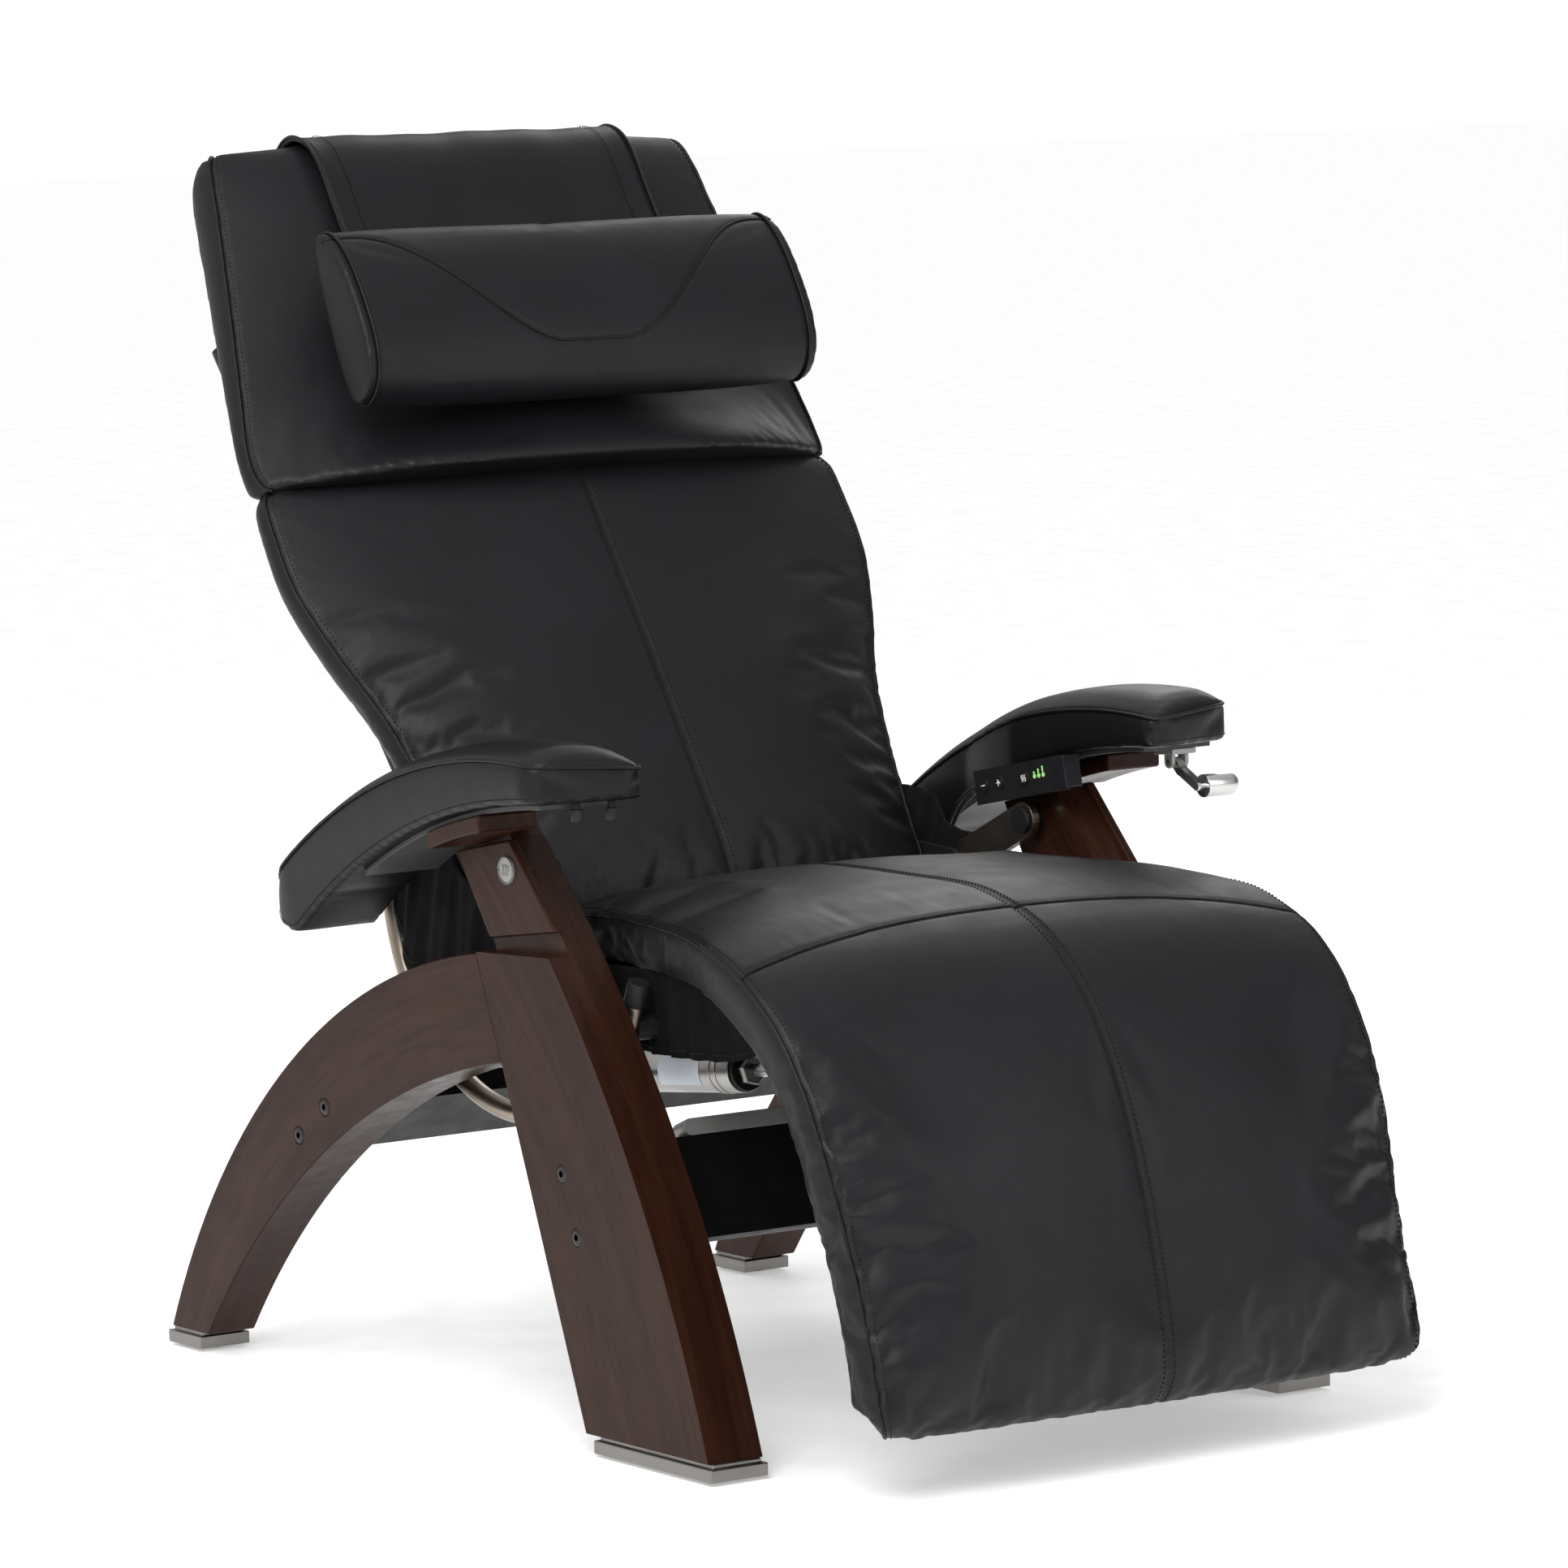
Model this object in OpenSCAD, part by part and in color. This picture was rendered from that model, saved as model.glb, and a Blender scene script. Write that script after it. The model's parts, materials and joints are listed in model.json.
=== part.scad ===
// Zero gravity recliner with bentwood side frames and leather pads.
// The chair faces -Y.  +X is the sitter's left hand, and the floor is Z = 0.
// Side outlines are drawn in the YZ plane as [y, z] points.

/* [Base] */
// Width across the outer faces of the two wooden side frames
base_w = 690; // [680:1:700]
// Thickness of a front leg
leg_t = 58; // [56:1:60]
// Thickness of a rear arch
arch_t = 52; // [50:1:54]
// Thickness of the post that carries an armrest
post_t = 35; // [33:1:37]
// Height of the wood's lower end above the floor
wood_z = 19; // [18:1:20]
// Length of a front foot cap
front_foot_l = 186; // [180:1:190]
// Length of a rear foot cap
rear_foot_l = 61; // [58:1:64]
// Width of the two stretcher boards
stretcher_w = 95; // [90:1:98]
// Thickness of the two stretcher boards
stretcher_t = 22; // [20:1:24]

/* [Recline] */
// Height of the seat pivot above the floor
pivot_z = 508; // [506:1:510]
// Radius of the bow tubes
bow_r = 215; // [213:1:217]
// Diameter of the bow tubes
bow_d = 19; // [18:1:20]
// Outer diameter of the lock cylinder
cylinder_d = 42; // [38:1:44]
// Diameter of the lock cylinder's rod
rod_d = 12; // [11:1:13]

/* [Upholstery] */
// Thickness of the seat and leg pad
seat_pad_t = 60; // [56:1:62]
// Thickness of the back pad at its sides
back_pad_t = 80; // [76:1:82]
// Half width of the seat pad at the knees
knee_half_w = 313; // [308:1:316]
// Width of the head pillow
pillow_w = 520; // [500:1:530]
// Width of the leather flap over the head section
flap_w = 364; // [350:1:370]

/* [Armrests] */
// Distance from the middle of the chair to an arm pad's inner side
arm_in = 283; // [282:1:285]
// Width of an arm pad
arm_w = 109; // [105:1:112]

/* [Hidden] */
$fn = 64;

// Gap between pieces of different bodies, and the smaller gap of a running fit
gap = 0.3;
fit = 0.05;

// Side frame: the wood's faces, and arcs as [centre y, centre z, radius]
half_w = base_w / 2;
leg_in = half_w - leg_t;
arch_in = half_w - arch_t;
post_out = leg_in + post_t;
leg_arc = [873, -389, 1302];
arch_top = [-111, -300, 744];
arch_low = [-182, -500, 851];
seam_top = [-8, 438];
seam_slope = 0.387;
ledge_z = 443;

// Arm pad: arcs of its top and its underside
pad_top = [-134, -40, 669];
pad_low = [-200, -108, 695];
plate_t = 5;
block_t = 16;
plate_under = [pad_low[0], pad_low[1], pad_low[2] - plate_t - 0.15];

// Seat: pivot, knee and hip
pivot = [-15, pivot_z];
knee = [-306, 276];
knee_r = 208;
calf_a = 162;
seat_top_z = knee[1] + knee_r;
deck_t = 12;
deck_run = 215;

// Bow tubes and hip arms, which stand between the posts and the pads
bow_c = [38, 492];
bow_x = leg_in - 15;
bow_front_a = 206;
bow_rear_a = 3;
arm_t = 8;
cross_a = 213;
cross_d = 25;
cross_p = [bow_c[0] + bow_r * cos(cross_a), bow_c[1] + bow_r * sin(cross_a)];
hip_end = [bow_c[0] + bow_r * cos(-24), bow_c[1] + bow_r * sin(-24)];

// Back: its hinge, and its own frame with s along the back and n out of its front
hinge = [95, 458];
back_o = [63, 475];
back_a = 56.8;
hinge_plate_t = 6;

// Lock cylinder: rear pivot, and the rod's eye at rest
cyl_p = [215, 278];
eye_p = [-100, 310];
cyl_x = -60;
cyl_l = 236;
cyl_vec = eye_p - cyl_p;
cyl_len = norm(cyl_vec);
cyl_a = atan2(cyl_vec[1], -cyl_vec[0]);
pin_d = 10;
eye_slack = 3.6;

// Bolt places on a side frame, and the middles and slopes of the stretchers
front_bolts = [[-141, 250], [-163, 195]];
rear_bolts = [[264, 266], [312, 234]];
front_mid = (front_bolts[0] + front_bolts[1]) / 2;
rear_mid = (rear_bolts[0] + rear_bolts[1]) / 2;
front_a = atan2(front_bolts[0][1] - front_bolts[1][1], front_bolts[0][0] - front_bolts[1][0]);
rear_a = atan2(rear_bolts[1][1] - rear_bolts[0][1], rear_bolts[1][0] - rear_bolts[0][0]);
bolt_d = 10;
bolt_head_d = 17;
bolt_head_t = 3;

// Round badge on each post cover
badge_d = 26;

// Feet: the cap's front edge along Y for each pair
front_foot_y = -370;
rear_foot_y = 505;
leveller_h = 3;
cap_h = 12;

// Control panel: middle, length, height and slope, under the left arm pad's inner side
panel_mid = [-21, 547];
panel_l = 147;
panel_h = 33;
panel_a = 10.6;
panel_x = 262;
panel_t = 18;
button_d = 13;
button_rise = 1.5;
button_travel = 1.5;

// Release lever under the left arm pad
lever_p = [-156, 568];
lever_x = 345;
knob_l = 40;
knob_d = 22;

// ---------- helpers ----------

function arc_pts(c, a0, a1, n = 24) =
    [for (i = [0 : n]) let (a = a0 + (a1 - a0) * i / n) [c[0] + c[2] * cos(a), c[1] + c[2] * sin(a)]];
function grow(c, by) = [c[0], c[1], c[2] + by];
function a_at_y(c, y) = acos((y - c[0]) / c[2]);
function a_at_z(c, z) = asin((z - c[1]) / c[2]);
function seam_y(z) = seam_top[0] - (seam_top[1] - z) * seam_slope;

// Stands a YZ outline up between two X planes
module yz(x0, x1) {
    translate([x0, 0, 0]) rotate([90, 0, 90]) linear_extrude(x1 - x0) children();
}

// A round bar along X
module x_rod(p, x0, x1, d) {
    translate([x0, p[0], p[1]]) rotate([0, 90, 0]) cylinder(h = x1 - x0, d = d);
}

// A round bar between two YZ points at one X
module yz_rod(x, p, q, d) {
    v = q - p;
    translate([x, p[0], p[1]]) rotate([atan2(v[1], v[0]) - 90, 0, 0]) cylinder(h = norm(v), d = d);
}

// A ring segment in the YZ plane
module yz_bow(x, c, r, d, a0, a1) {
    translate([x, c[0], c[1]]) rotate([90, 0, 90]) rotate([0, 0, a0])
        rotate_extrude(angle = a1 - a0) translate([r, 0]) circle(d = d);
}

// Flat bar outline with round ends between two points
module link_outline(p, q, w) {
    a = atan2(q[1] - p[1], q[0] - p[0]);
    polygon(concat(arc_pts([p[0], p[1], w / 2], a + 90, a + 270, 12),
        arc_pts([q[0], q[1], w / 2], a - 90, a + 90, 12)));
}

module board(mid, a, w, t, x0, x1) {
    translate([x0, mid[0], mid[1]]) rotate([a, 0, 0]) translate([0, -w / 2, -t / 2])
        cube([x1 - x0, w, t]);
}

// Moves children from the back's own frame (X, s, n) into the chair
module on_back() {
    translate([0, back_o[0], back_o[1]]) rotate([back_a, 0, 0]) children();
}

// Outline across the back, mirrored about the middle, from [half width, s] points
function both_sides(pts) =
    concat(pts, [for (i = [len(pts) - 1 : -1 : 0]) [-pts[i][0], pts[i][1]]]);

// ---------- wooden side frames ----------

module leg_outline(top_z) {
    foot_a = 180 - a_at_z(leg_arc, wood_z);
    top_a = 180 - a_at_z(leg_arc, top_z);
    polygon(concat([[seam_y(wood_z), wood_z]], arc_pts(leg_arc, foot_a, top_a), [seam_top]));
}

module post_outline() {
    polygon(concat([[-90, ledge_z - 5], [-20, ledge_z - 5], seam_top],
        arc_pts(plate_under, a_at_y(plate_under, 48), a_at_y(plate_under, -20), 8),
        arc_pts(leg_arc, 180 - a_at_z(leg_arc, 557.8), 180 - a_at_z(leg_arc, ledge_z - 5), 8)));
}

module bolt_bores(places, x0) {
    for (p = places) {
        x_rod(p, x0 - 1, half_w + 1, bolt_d);
        x_rod(p, half_w - bolt_head_t, half_w + 1, bolt_head_d);
    }
}

module front_leg() {
    color("#3a2420") difference() {
        union() {
            yz(leg_in, half_w) leg_outline(ledge_z);
            yz(leg_in, post_out) post_outline();
        }
        bolt_bores(front_bolts, leg_in);
        x_rod(pivot, leg_in - 1, leg_in + 22, 16);
    }
}

module rear_arch() {
    color("#3a2420") difference() {
        yz(arch_in, half_w) polygon(concat(
            arc_pts(arch_top, a_at_y(arch_top, seam_top[0]), a_at_z(arch_top, wood_z), 32),
            arc_pts(arch_low, a_at_z(arch_low, wood_z), a_at_y(arch_low, seam_y(340)), 32)));
        bolt_bores(rear_bolts, arch_in);
    }
}

module post_cover() {
    color("#43302b") yz(post_out, post_out + 9)
        polygon([[44, 525], [-46, 542], [-120, 464], [-10, 449]]);
}

module side_badges() {
    color("silver") for (s = [-1, 1]) translate([s * (post_out + 9), -42, 514])
        rotate([0, s * 90, 0]) cylinder(h = 1.5, d = badge_d);
}

// ---------- stretchers and bolts ----------

module front_stretcher() {
    color("#1c1a1a") difference() {
        board(front_mid, front_a, stretcher_w, stretcher_t, -leg_in, leg_in);
        for (p = front_bolts) x_rod(p, -leg_in - 1, leg_in + 1, bolt_d);
    }
}

// Grey rail with round ends along the top of the front stretcher
module stretcher_rail() {
    top = front_mid + (stretcher_w / 2) * [cos(front_a), sin(front_a)];
    rail_x = 212;
    color("#b9b9b6") translate([0, top[0], top[1]]) rotate([front_a - 90, 0, 0])
        rotate([90, 0, 0]) translate([0, 0, -stretcher_t / 2]) linear_extrude(stretcher_t)
            union() {
                translate([-rail_x + 8, 0]) square([2 * rail_x - 16, 16]);
                for (s = [-1, 1]) translate([s * (rail_x - 8), 8]) circle(d = 16);
            }
}

module rear_stretcher() {
    color("#1c1a1a") difference() {
        board(rear_mid, rear_a, stretcher_w, stretcher_t, -arch_in, arch_in);
        for (p = rear_bolts) x_rod(p, -arch_in - 1, arch_in + 1, bolt_d);
    }
}

// Domed socket bolt heads in their counterbores, with shanks into the stretchers
module frame_bolts() {
    color("#1a1718") for (p = concat(front_bolts, rear_bolts), s = [0, 1]) mirror([s, 0, 0]) {
        x_rod(p, half_w - bolt_head_t, half_w - 0.4, bolt_head_d - 0.2);
        x_rod(p, leg_in - 40, half_w - bolt_head_t, bolt_d - 0.2);
    }
}

// ---------- feet ----------

module foot_cap(y0, l, x_in) {
    mid_x = (x_in + half_w) / 2;
    color("#a8a49c") difference() {
        union() {
            translate([x_in - 1.5, y0, leveller_h]) cube([half_w - x_in + 3, l, cap_h]);
            translate([x_in + 3, y0 + 4, leveller_h + cap_h])
                cube([half_w - x_in - 6, l - 8, wood_z - leveller_h - cap_h]);
        }
        translate([mid_x, y0 + l / 2, 0]) cylinder(h = wood_z - 4, d = 10);
    }
}

module leveller(y0, l, x_in) {
    mid = [(x_in + half_w) / 2, y0 + l / 2];
    color("#151515") {
        translate([mid[0], mid[1], 0]) cylinder(h = leveller_h - gap, d = 34);
        translate([mid[0], mid[1], 0]) cylinder(h = wood_z - 5, d = 10 - 2 * fit);
    }
}

module front_foot(kind) {
    if (kind == "cap") foot_cap(front_foot_y, front_foot_l, leg_in);
    if (kind == "leveller") leveller(front_foot_y, front_foot_l, leg_in);
}

module rear_foot(kind) {
    if (kind == "cap") foot_cap(rear_foot_y, rear_foot_l, arch_in);
    if (kind == "leveller") leveller(rear_foot_y, rear_foot_l, arch_in);
}

// ---------- armrests ----------

// Strip between two arcs of the arm, from a front Y to a rear Y
module arm_strip(outer, inner, y_front, y_rear) {
    polygon(concat(arc_pts(outer, a_at_y(outer, y_front), a_at_y(outer, y_rear), 20),
        arc_pts(inner, a_at_y(inner, y_rear), a_at_y(inner, y_front), 20)));
}

module arm_plan() {
    out = arm_in + arm_w;
    polygon(concat(
        [[arm_in + 20, 320], [arm_in + 20, 120], [arm_in, 20]],
        arc_pts([arm_in + 18, -188, 18], 180, 262, 6),
        arc_pts([out - 18, -162, 18], -78, 0, 6),
        arc_pts([out - 40, 262, 40], 0, 60, 6)));
}

module arm_pad() {
    color("#2b292c") intersection() {
        yz(arm_in - 1, arm_in + arm_w + 1) polygon(concat(
            arc_pts(pad_top, a_at_y(pad_top, -215), a_at_y(pad_top, 290), 20),
            arc_pts([277, 458, 20], 0, -90, 6),
            arc_pts(pad_low, a_at_y(pad_low, 225), a_at_y(pad_low, -215), 20)));
        linear_extrude(700) arm_plan();
    }
}

module arm_plate() {
    color("#8d8d8d") yz(arm_in + 14, arm_in + arm_w - 16)
        arm_strip(grow(pad_low, -gap), grow(pad_low, -plate_t), -168, 130);
}

module arm_block() {
    color("#3a2420") yz(post_out, arm_in + arm_w - 8)
        arm_strip(plate_under, grow(plate_under, -block_t), -80, 8);
}

// Two bolts with rubber ends where the right arm could carry a lever
module spare_arm_bolts() {
    under = pad_low[1] + pad_low[2] - 0.6;
    color("#202020") for (p = [[-310, -184], [-342, -176]]) translate([p[0], p[1], under]) {
        translate([0, 0, -6]) cylinder(h = 6, d = 7);
        translate([0, 0, -17]) cylinder(h = 11, d = 11);
    }
}

// ---------- control panel ----------

// Moves children so that u runs forward along the panel and v up it
module on_panel() {
    translate([panel_x, panel_mid[0], panel_mid[1]]) rotate([-panel_a, 0, 0])
        translate([0, panel_l / 2, -panel_h / 2]) children();
}

module panel_button_at(u, v) {
    on_panel() translate([0, -u, v]) rotate([0, 90, 0]) children();
}

minus_u = 15;
plus_u = 40;
heat_u = 81;
button_v = panel_h / 2 + 1;
cap_u = panel_l - 20;
light_us = [97, 104, 111];

// Housing with a block behind it that stands on the post's inner face
module panel_housing() {
    color("#141416") difference() {
        on_panel() {
            translate([0, -cap_u, 0]) cube([panel_t, cap_u, panel_h]);
            translate([panel_t, -74, 8]) cube([leg_in - panel_x - panel_t, 50, 16]);
        }
        for (u = [minus_u, plus_u, heat_u]) panel_button_at(u, button_v)
            translate([0, 0, -1]) cylinder(h = 6, d = button_d);
        for (u = light_us) panel_button_at(u, button_v) translate([0, 0, -1]) cylinder(h = 2.5, d = 4.4);
    }
}

module panel_end_cap() {
    color("#26262a") on_panel() translate([-2, -panel_l, 1]) cube([panel_t + 2, panel_l - cap_u, panel_h - 2]);
}

module panel_lights() {
    color("#9fe05a") for (u = light_us) panel_button_at(u, button_v)
        translate([0, 0, -0.4]) cylinder(h = 1.9, d = 4.2);
}

module panel_button(u) {
    color("#1d1d20") panel_button_at(u, button_v)
        translate([0, 0, -button_rise]) cylinder(h = button_rise + 3, d = button_d - 2 * fit);
}

// Two leads from the panel's rear end, past the pads and down the arch to the control box
lead_d = 4;
lead_route = [
    [273, 53.5, 530], [276, 63, 529], [282, 80, 525], [286, 98, 517], [288, 114, 505],
    [289, 128, 488], [289, 140, 468], [289, 150, 445], [289, 159, 420], [289, 168, 395],
    [289, 180, 370], [289, 193, 348], [287, 208, 328], [281, 224, 312], [272, 241, 300],
    [259, 257, 293], [246, 268, 289], [232.5, 274, 288],
];

// One lead as a swept tube, its ring planes set square to the route
module lead(shift) {
    pts = [for (p = lead_route) p + shift];
    n = len(pts);
    sides = 8;
    dirs = [for (i = [0 : n - 1]) let (d = pts[min(i + 1, n - 1)] - pts[max(i - 1, 0)]) d / norm(d)];
    rings = [for (i = [0 : n - 1])
        let (side = cross(dirs[i], [0.3, 0.2, 1]), u = side / norm(side), v = cross(dirs[i], u))
        for (k = [0 : sides - 1])
            pts[i] + lead_d / 2 * (cos(360 * k / sides) * u + sin(360 * k / sides) * v)];
    walls = [for (i = [0 : n - 2], k = [0 : sides - 1])
        let (a = i * sides + k, b = i * sides + (k + 1) % sides) [a, a + sides, b + sides, b]];
    first = [for (k = [0 : sides - 1]) k];
    last = [for (k = [sides - 1 : -1 : 0]) (n - 1) * sides + k];
    polyhedron(points = rings, faces = concat(walls, [first, last]), convexity = 6);
}

module panel_leads() {
    color("#101010") {
        lead([0, 0, 0]);
        lead([0, 3.5, 5]);
    }
}

module control_box() {
    color("#161616") translate([150, rear_mid[0], rear_mid[1]]) rotate([rear_a, 0, 0])
        translate([0, -42, stretcher_t / 2]) cube([80, 54, 34]);
}

// ---------- release lever ----------

module lever_bracket() {
    color("#7e7e80") difference() {
        union() {
            yz(lever_x - 14, lever_x + 14)
                arm_strip(plate_under, grow(plate_under, -5), lever_p[0] - 12, lever_p[0] + 16);
            for (s = [-1, 1]) translate([lever_x - 2 + s * 8, 0, 0])
                yz(0, 4) link_outline(lever_p, lever_p + [0, 5], 12);
        }
        x_rod(lever_p, lever_x - 20, lever_x + 20, 6);
    }
}

lever_mid = lever_p + [-8, -8];
lever_low = lever_p + [-34, -21];

module lever_bar() {
    color("#c9cacb") {
        yz(lever_x - 4, lever_x + 4) union() {
            link_outline(lever_p, lever_mid, 9);
            link_outline(lever_mid, lever_low, 8);
        }
        x_rod(lever_p, lever_x - 9.9, lever_x + 9.9, 5.9);
    }
}

module lever_knob() {
    color("#d9d9d7") {
        x_rod(lever_low, lever_x + 4, lever_x + 4 + knob_l - knob_d / 2, knob_d);
        translate([lever_x + 4 + knob_l - knob_d / 2, lever_low[0], lever_low[1]]) intersection() {
            sphere(d = knob_d);
            translate([0, -knob_d, -knob_d]) cube(2 * knob_d);
        }
    }
}

// ---------- moving seat frame ----------

module pivot_pins() {
    color("#8a8a8a") for (s = [0, 1]) mirror([s, 0, 0]) {
        x_rod(pivot, bow_x - arm_t / 2 - 2, leg_in + 20, 16 - 2 * fit);
        x_rod(pivot, bow_x - arm_t / 2 - 5, bow_x - arm_t / 2 - gap, 26);
    }
}

module hip_arm() {
    color("#a09484") difference() {
        yz(bow_x - arm_t / 2, bow_x + arm_t / 2) union() {
            link_outline(pivot, hinge, 34);
            intersection() {
                link_outline(hinge, hip_end, 30);
                translate(bow_c) circle(r = bow_r - bow_d / 2);
            }
        }
        x_rod(pivot, 0, half_w, 16);
        x_rod(hinge, 0, half_w, 12);
    }
}

module bow_tube() {
    color("#a09484") yz_bow(bow_x, bow_c, bow_r, bow_d, bow_front_a - 360, bow_rear_a);
}

// Black plastic plugs over both ends of each bow tube
module bow_end_caps() {
    color("#121212") for (s = [0, 1]) mirror([s, 0, 0]) {
        yz_bow(bow_x, bow_c, bow_r, bow_d + 2, bow_front_a - 366, bow_front_a - 360);
        yz_bow(bow_x, bow_c, bow_r, bow_d + 2, bow_rear_a, bow_rear_a + 4);
    }
}

// Cross tube between the bows, with two risers that carry the seat deck
module front_cross_tube() {
    color("#1b1b1b") difference() {
        union() {
            x_rod(cross_p, 6 - bow_x, bow_x - 6, cross_d);
            for (s = [-1, 1]) translate([s * 150 - 12, cross_p[0] - 12, cross_p[1]])
                cube([24, 24, seat_top_z - seat_pad_t - deck_t - cross_p[1]]);
        }
        for (s = [0, 1]) mirror([s, 0, 0])
            yz_bow(bow_x, bow_c, bow_r, bow_d, bow_front_a - 360, bow_rear_a);
    }
}

module seat_deck() {
    top = seat_top_z - seat_pad_t;
    color("#1a1a1a") translate([-250, knee[0], top - deck_t]) cube([500, -knee[0] + 10, deck_t - gap]);
}

// Curved board behind the calves, joined to the seat deck at the knee
module leg_deck() {
    outer = [knee[0], knee[1], knee_r - seat_pad_t - gap];
    inner = grow(outer, -deck_t);
    down = deck_run * [cos(calf_a + 90), sin(calf_a + 90)];
    color("#1a1a1a") yz(-250, 250) polygon(concat(
        arc_pts(outer, 90, calf_a, 16), [arc_pts(outer, 90, calf_a, 1)[1] + down],
        [arc_pts(inner, 90, calf_a, 1)[1] + down], arc_pts(inner, calf_a, 90, 16)));
}

module seat_leg_side() {
    outer = [knee[0], knee[1], knee_r];
    inner = grow(outer, -seat_pad_t);
    polygon(concat(
        [[40, 436], [10, 466], [-40, seat_top_z]],
        arc_pts(outer, 90, calf_a, 24),
        [[-569, 150]], arc_pts([-551.5, 86, 28], 180, 262, 6),
        [[-520, 62], arc_pts(inner, 90, calf_a, 1)[1] + deck_run * [cos(calf_a + 90), sin(calf_a + 90)]],
        arc_pts(inner, calf_a, 90, 24),
        [[10, seat_top_z - seat_pad_t], [36, 410]]));
}

module seat_leg_pad() {
    w = knee_half_w;
    color("#2a282c") intersection() {
        yz(-w, w) seat_leg_side();
        union() {
            linear_extrude(700) polygon(both_sides([
                [258, 90], [258, -60], [268, -150], [276, -228], [w, -325], [w, -400]]));
            translate([0, -380, 0]) rotate([90, 0, 0]) linear_extrude(260) polygon(both_sides([
                [w, 500], [w, 320], [w - 10, 180], [w - 18, 90], [w - 34, 40]]));
        }
    }
}

// Two cheeks that hang from the cross tube and hold the rod's pin
module rod_lug() {
    color("#4a4a4c") difference() {
        for (s = [-1, 1]) translate([cyl_x + s * 14 - 3, 0, 0]) yz(0, 6) link_outline(cross_p, eye_p, 28);
        x_rod(cross_p, cyl_x - 30, cyl_x + 30, cross_d);
        x_rod(eye_p, cyl_x - 30, cyl_x + 30, pin_d);
    }
}

module rod_pin() {
    color("#8a8a8a") x_rod(eye_p, cyl_x - 20, cyl_x + 20, pin_d - 2 * fit);
}

// ---------- lock cylinder ----------

// Moves children so that +Z runs from the rear pivot along the cylinder to the rod's eye
module on_cylinder() {
    translate([cyl_x, cyl_p[0], cyl_p[1]]) rotate([90 - cyl_a, 0, 0]) children();
}

module cylinder_mount() {
    edge = rear_mid - stretcher_w / 2 * [cos(rear_a), sin(rear_a)];
    side = stretcher_t / 2 * [-sin(rear_a), cos(rear_a)];
    color("#4a4a4c") for (s = [-1, 1]) translate([cyl_x + s * 16 - 3, 0, 0]) difference() {
        yz(0, 6) union() {
            translate(cyl_p) circle(d = 26);
            polygon([cyl_p + [0, 13], edge + side, edge - side, cyl_p - [0, 13]]);
        }
        x_rod(cyl_p, -10, 20, pin_d);
    }
    color("#8a8a8a") x_rod(cyl_p, cyl_x - 22, cyl_x + 22, pin_d - 0.02);
}

module lock_cylinder() {
    color("#b4b4b2") difference() {
        on_cylinder() union() {
            translate([0, 0, 22]) cylinder(h = cyl_l - 22, d = cylinder_d);
            rotate([0, 90, 0]) translate([0, 0, -12]) cylinder(h = 24, d = 24);
            translate([-12, -9, 0]) cube([24, 18, 24]);
        }
        on_cylinder() translate([0, 0, 40]) cylinder(h = cyl_l, d = cylinder_d - 10);
        x_rod(cyl_p, cyl_x - 30, cyl_x + 30, pin_d + 2 * fit);
    }
}

module cylinder_gland() {
    color("#2a2a2c") on_cylinder() difference() {
        union() {
            translate([0, 0, cyl_l - 14]) cylinder(h = 14, d = cylinder_d - 10);
            translate([0, 0, cyl_l]) cylinder(h = 5, d = cylinder_d - 4);
        }
        translate([0, 0, cyl_l - 20]) cylinder(h = 40, d = rod_d + 2 * fit);
    }
}

module lock_rod() {
    color("#d0d0d0") on_cylinder() difference() {
        union() {
            translate([0, 0, 52]) cylinder(h = cyl_len - 52, d = rod_d);
            translate([0, 0, 52]) cylinder(h = 12, d = cylinder_d - 10 - 2 * gap);
            translate([-9, 0, cyl_len]) rotate([0, 90, 0]) cylinder(h = 18, d = 30);
        }
        translate([-15, 0, cyl_len]) rotate([0, 90, 0]) cylinder(h = 30, d = pin_d + 2 * eye_slack);
    }
}

// ---------- moving back ----------

rail_n = -back_pad_t - 12 - 22;
rail_d = 20;
foot_s = 62;

// Points of the back frame in the chair's YZ plane
function back_yz(s, n) =
    back_o + s * [cos(back_a), sin(back_a)] + n * [-sin(back_a), cos(back_a)];

// Hinge plates with their pins, joined by a tube behind the pad
module back_hinge_frame() {
    plate_x = bow_x - arm_t / 2 - gap - hinge_plate_t;
    color("#1b1b1b") {
        for (s = [0, 1]) mirror([s, 0, 0]) {
            yz(plate_x, plate_x + hinge_plate_t) link_outline(hinge, back_yz(foot_s, rail_n), 28);
            x_rod(hinge, plate_x, leg_in - 7, 12 - 2 * fit);
        }
        x_rod(back_yz(foot_s, rail_n), -plate_x, plate_x, rail_d);
    }
}

// Splayed side rails with a cross bar behind the head
module back_rails() {
    color("#1b1b1b") on_back() difference() {
        union() {
            for (s = [-1, 1]) translate([s * 238, foot_s, rail_n])
                rotate([-90, 0, s * -4]) cylinder(h = 600, d = rail_d);
            translate([-270, foot_s + 480, rail_n]) rotate([0, 90, 0]) cylinder(h = 540, d = rail_d);
        }
        translate([-300, foot_s, rail_n]) rotate([0, 90, 0]) cylinder(h = 600, d = rail_d);
    }
}

module back_panel() {
    color("#1a1a1c") on_back() translate([0, 0, -back_pad_t - 12 - 10]) linear_extrude(9.7) polygon(both_sides([
        [235, 70], [240, 150], [262, 250], [300, 380], [300, 480], [250, 784]]));
}

module back_pad() {
    color("#2a282c") on_back() translate([0, 0, -back_pad_t - 12]) linear_extrude(back_pad_t) polygon(both_sides([
        [248, -30], [258, 20], [260, 90], [270, 165], [284, 229], [311, 301], [329, 370], [331, 440], [326, 478]]));
}

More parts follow.
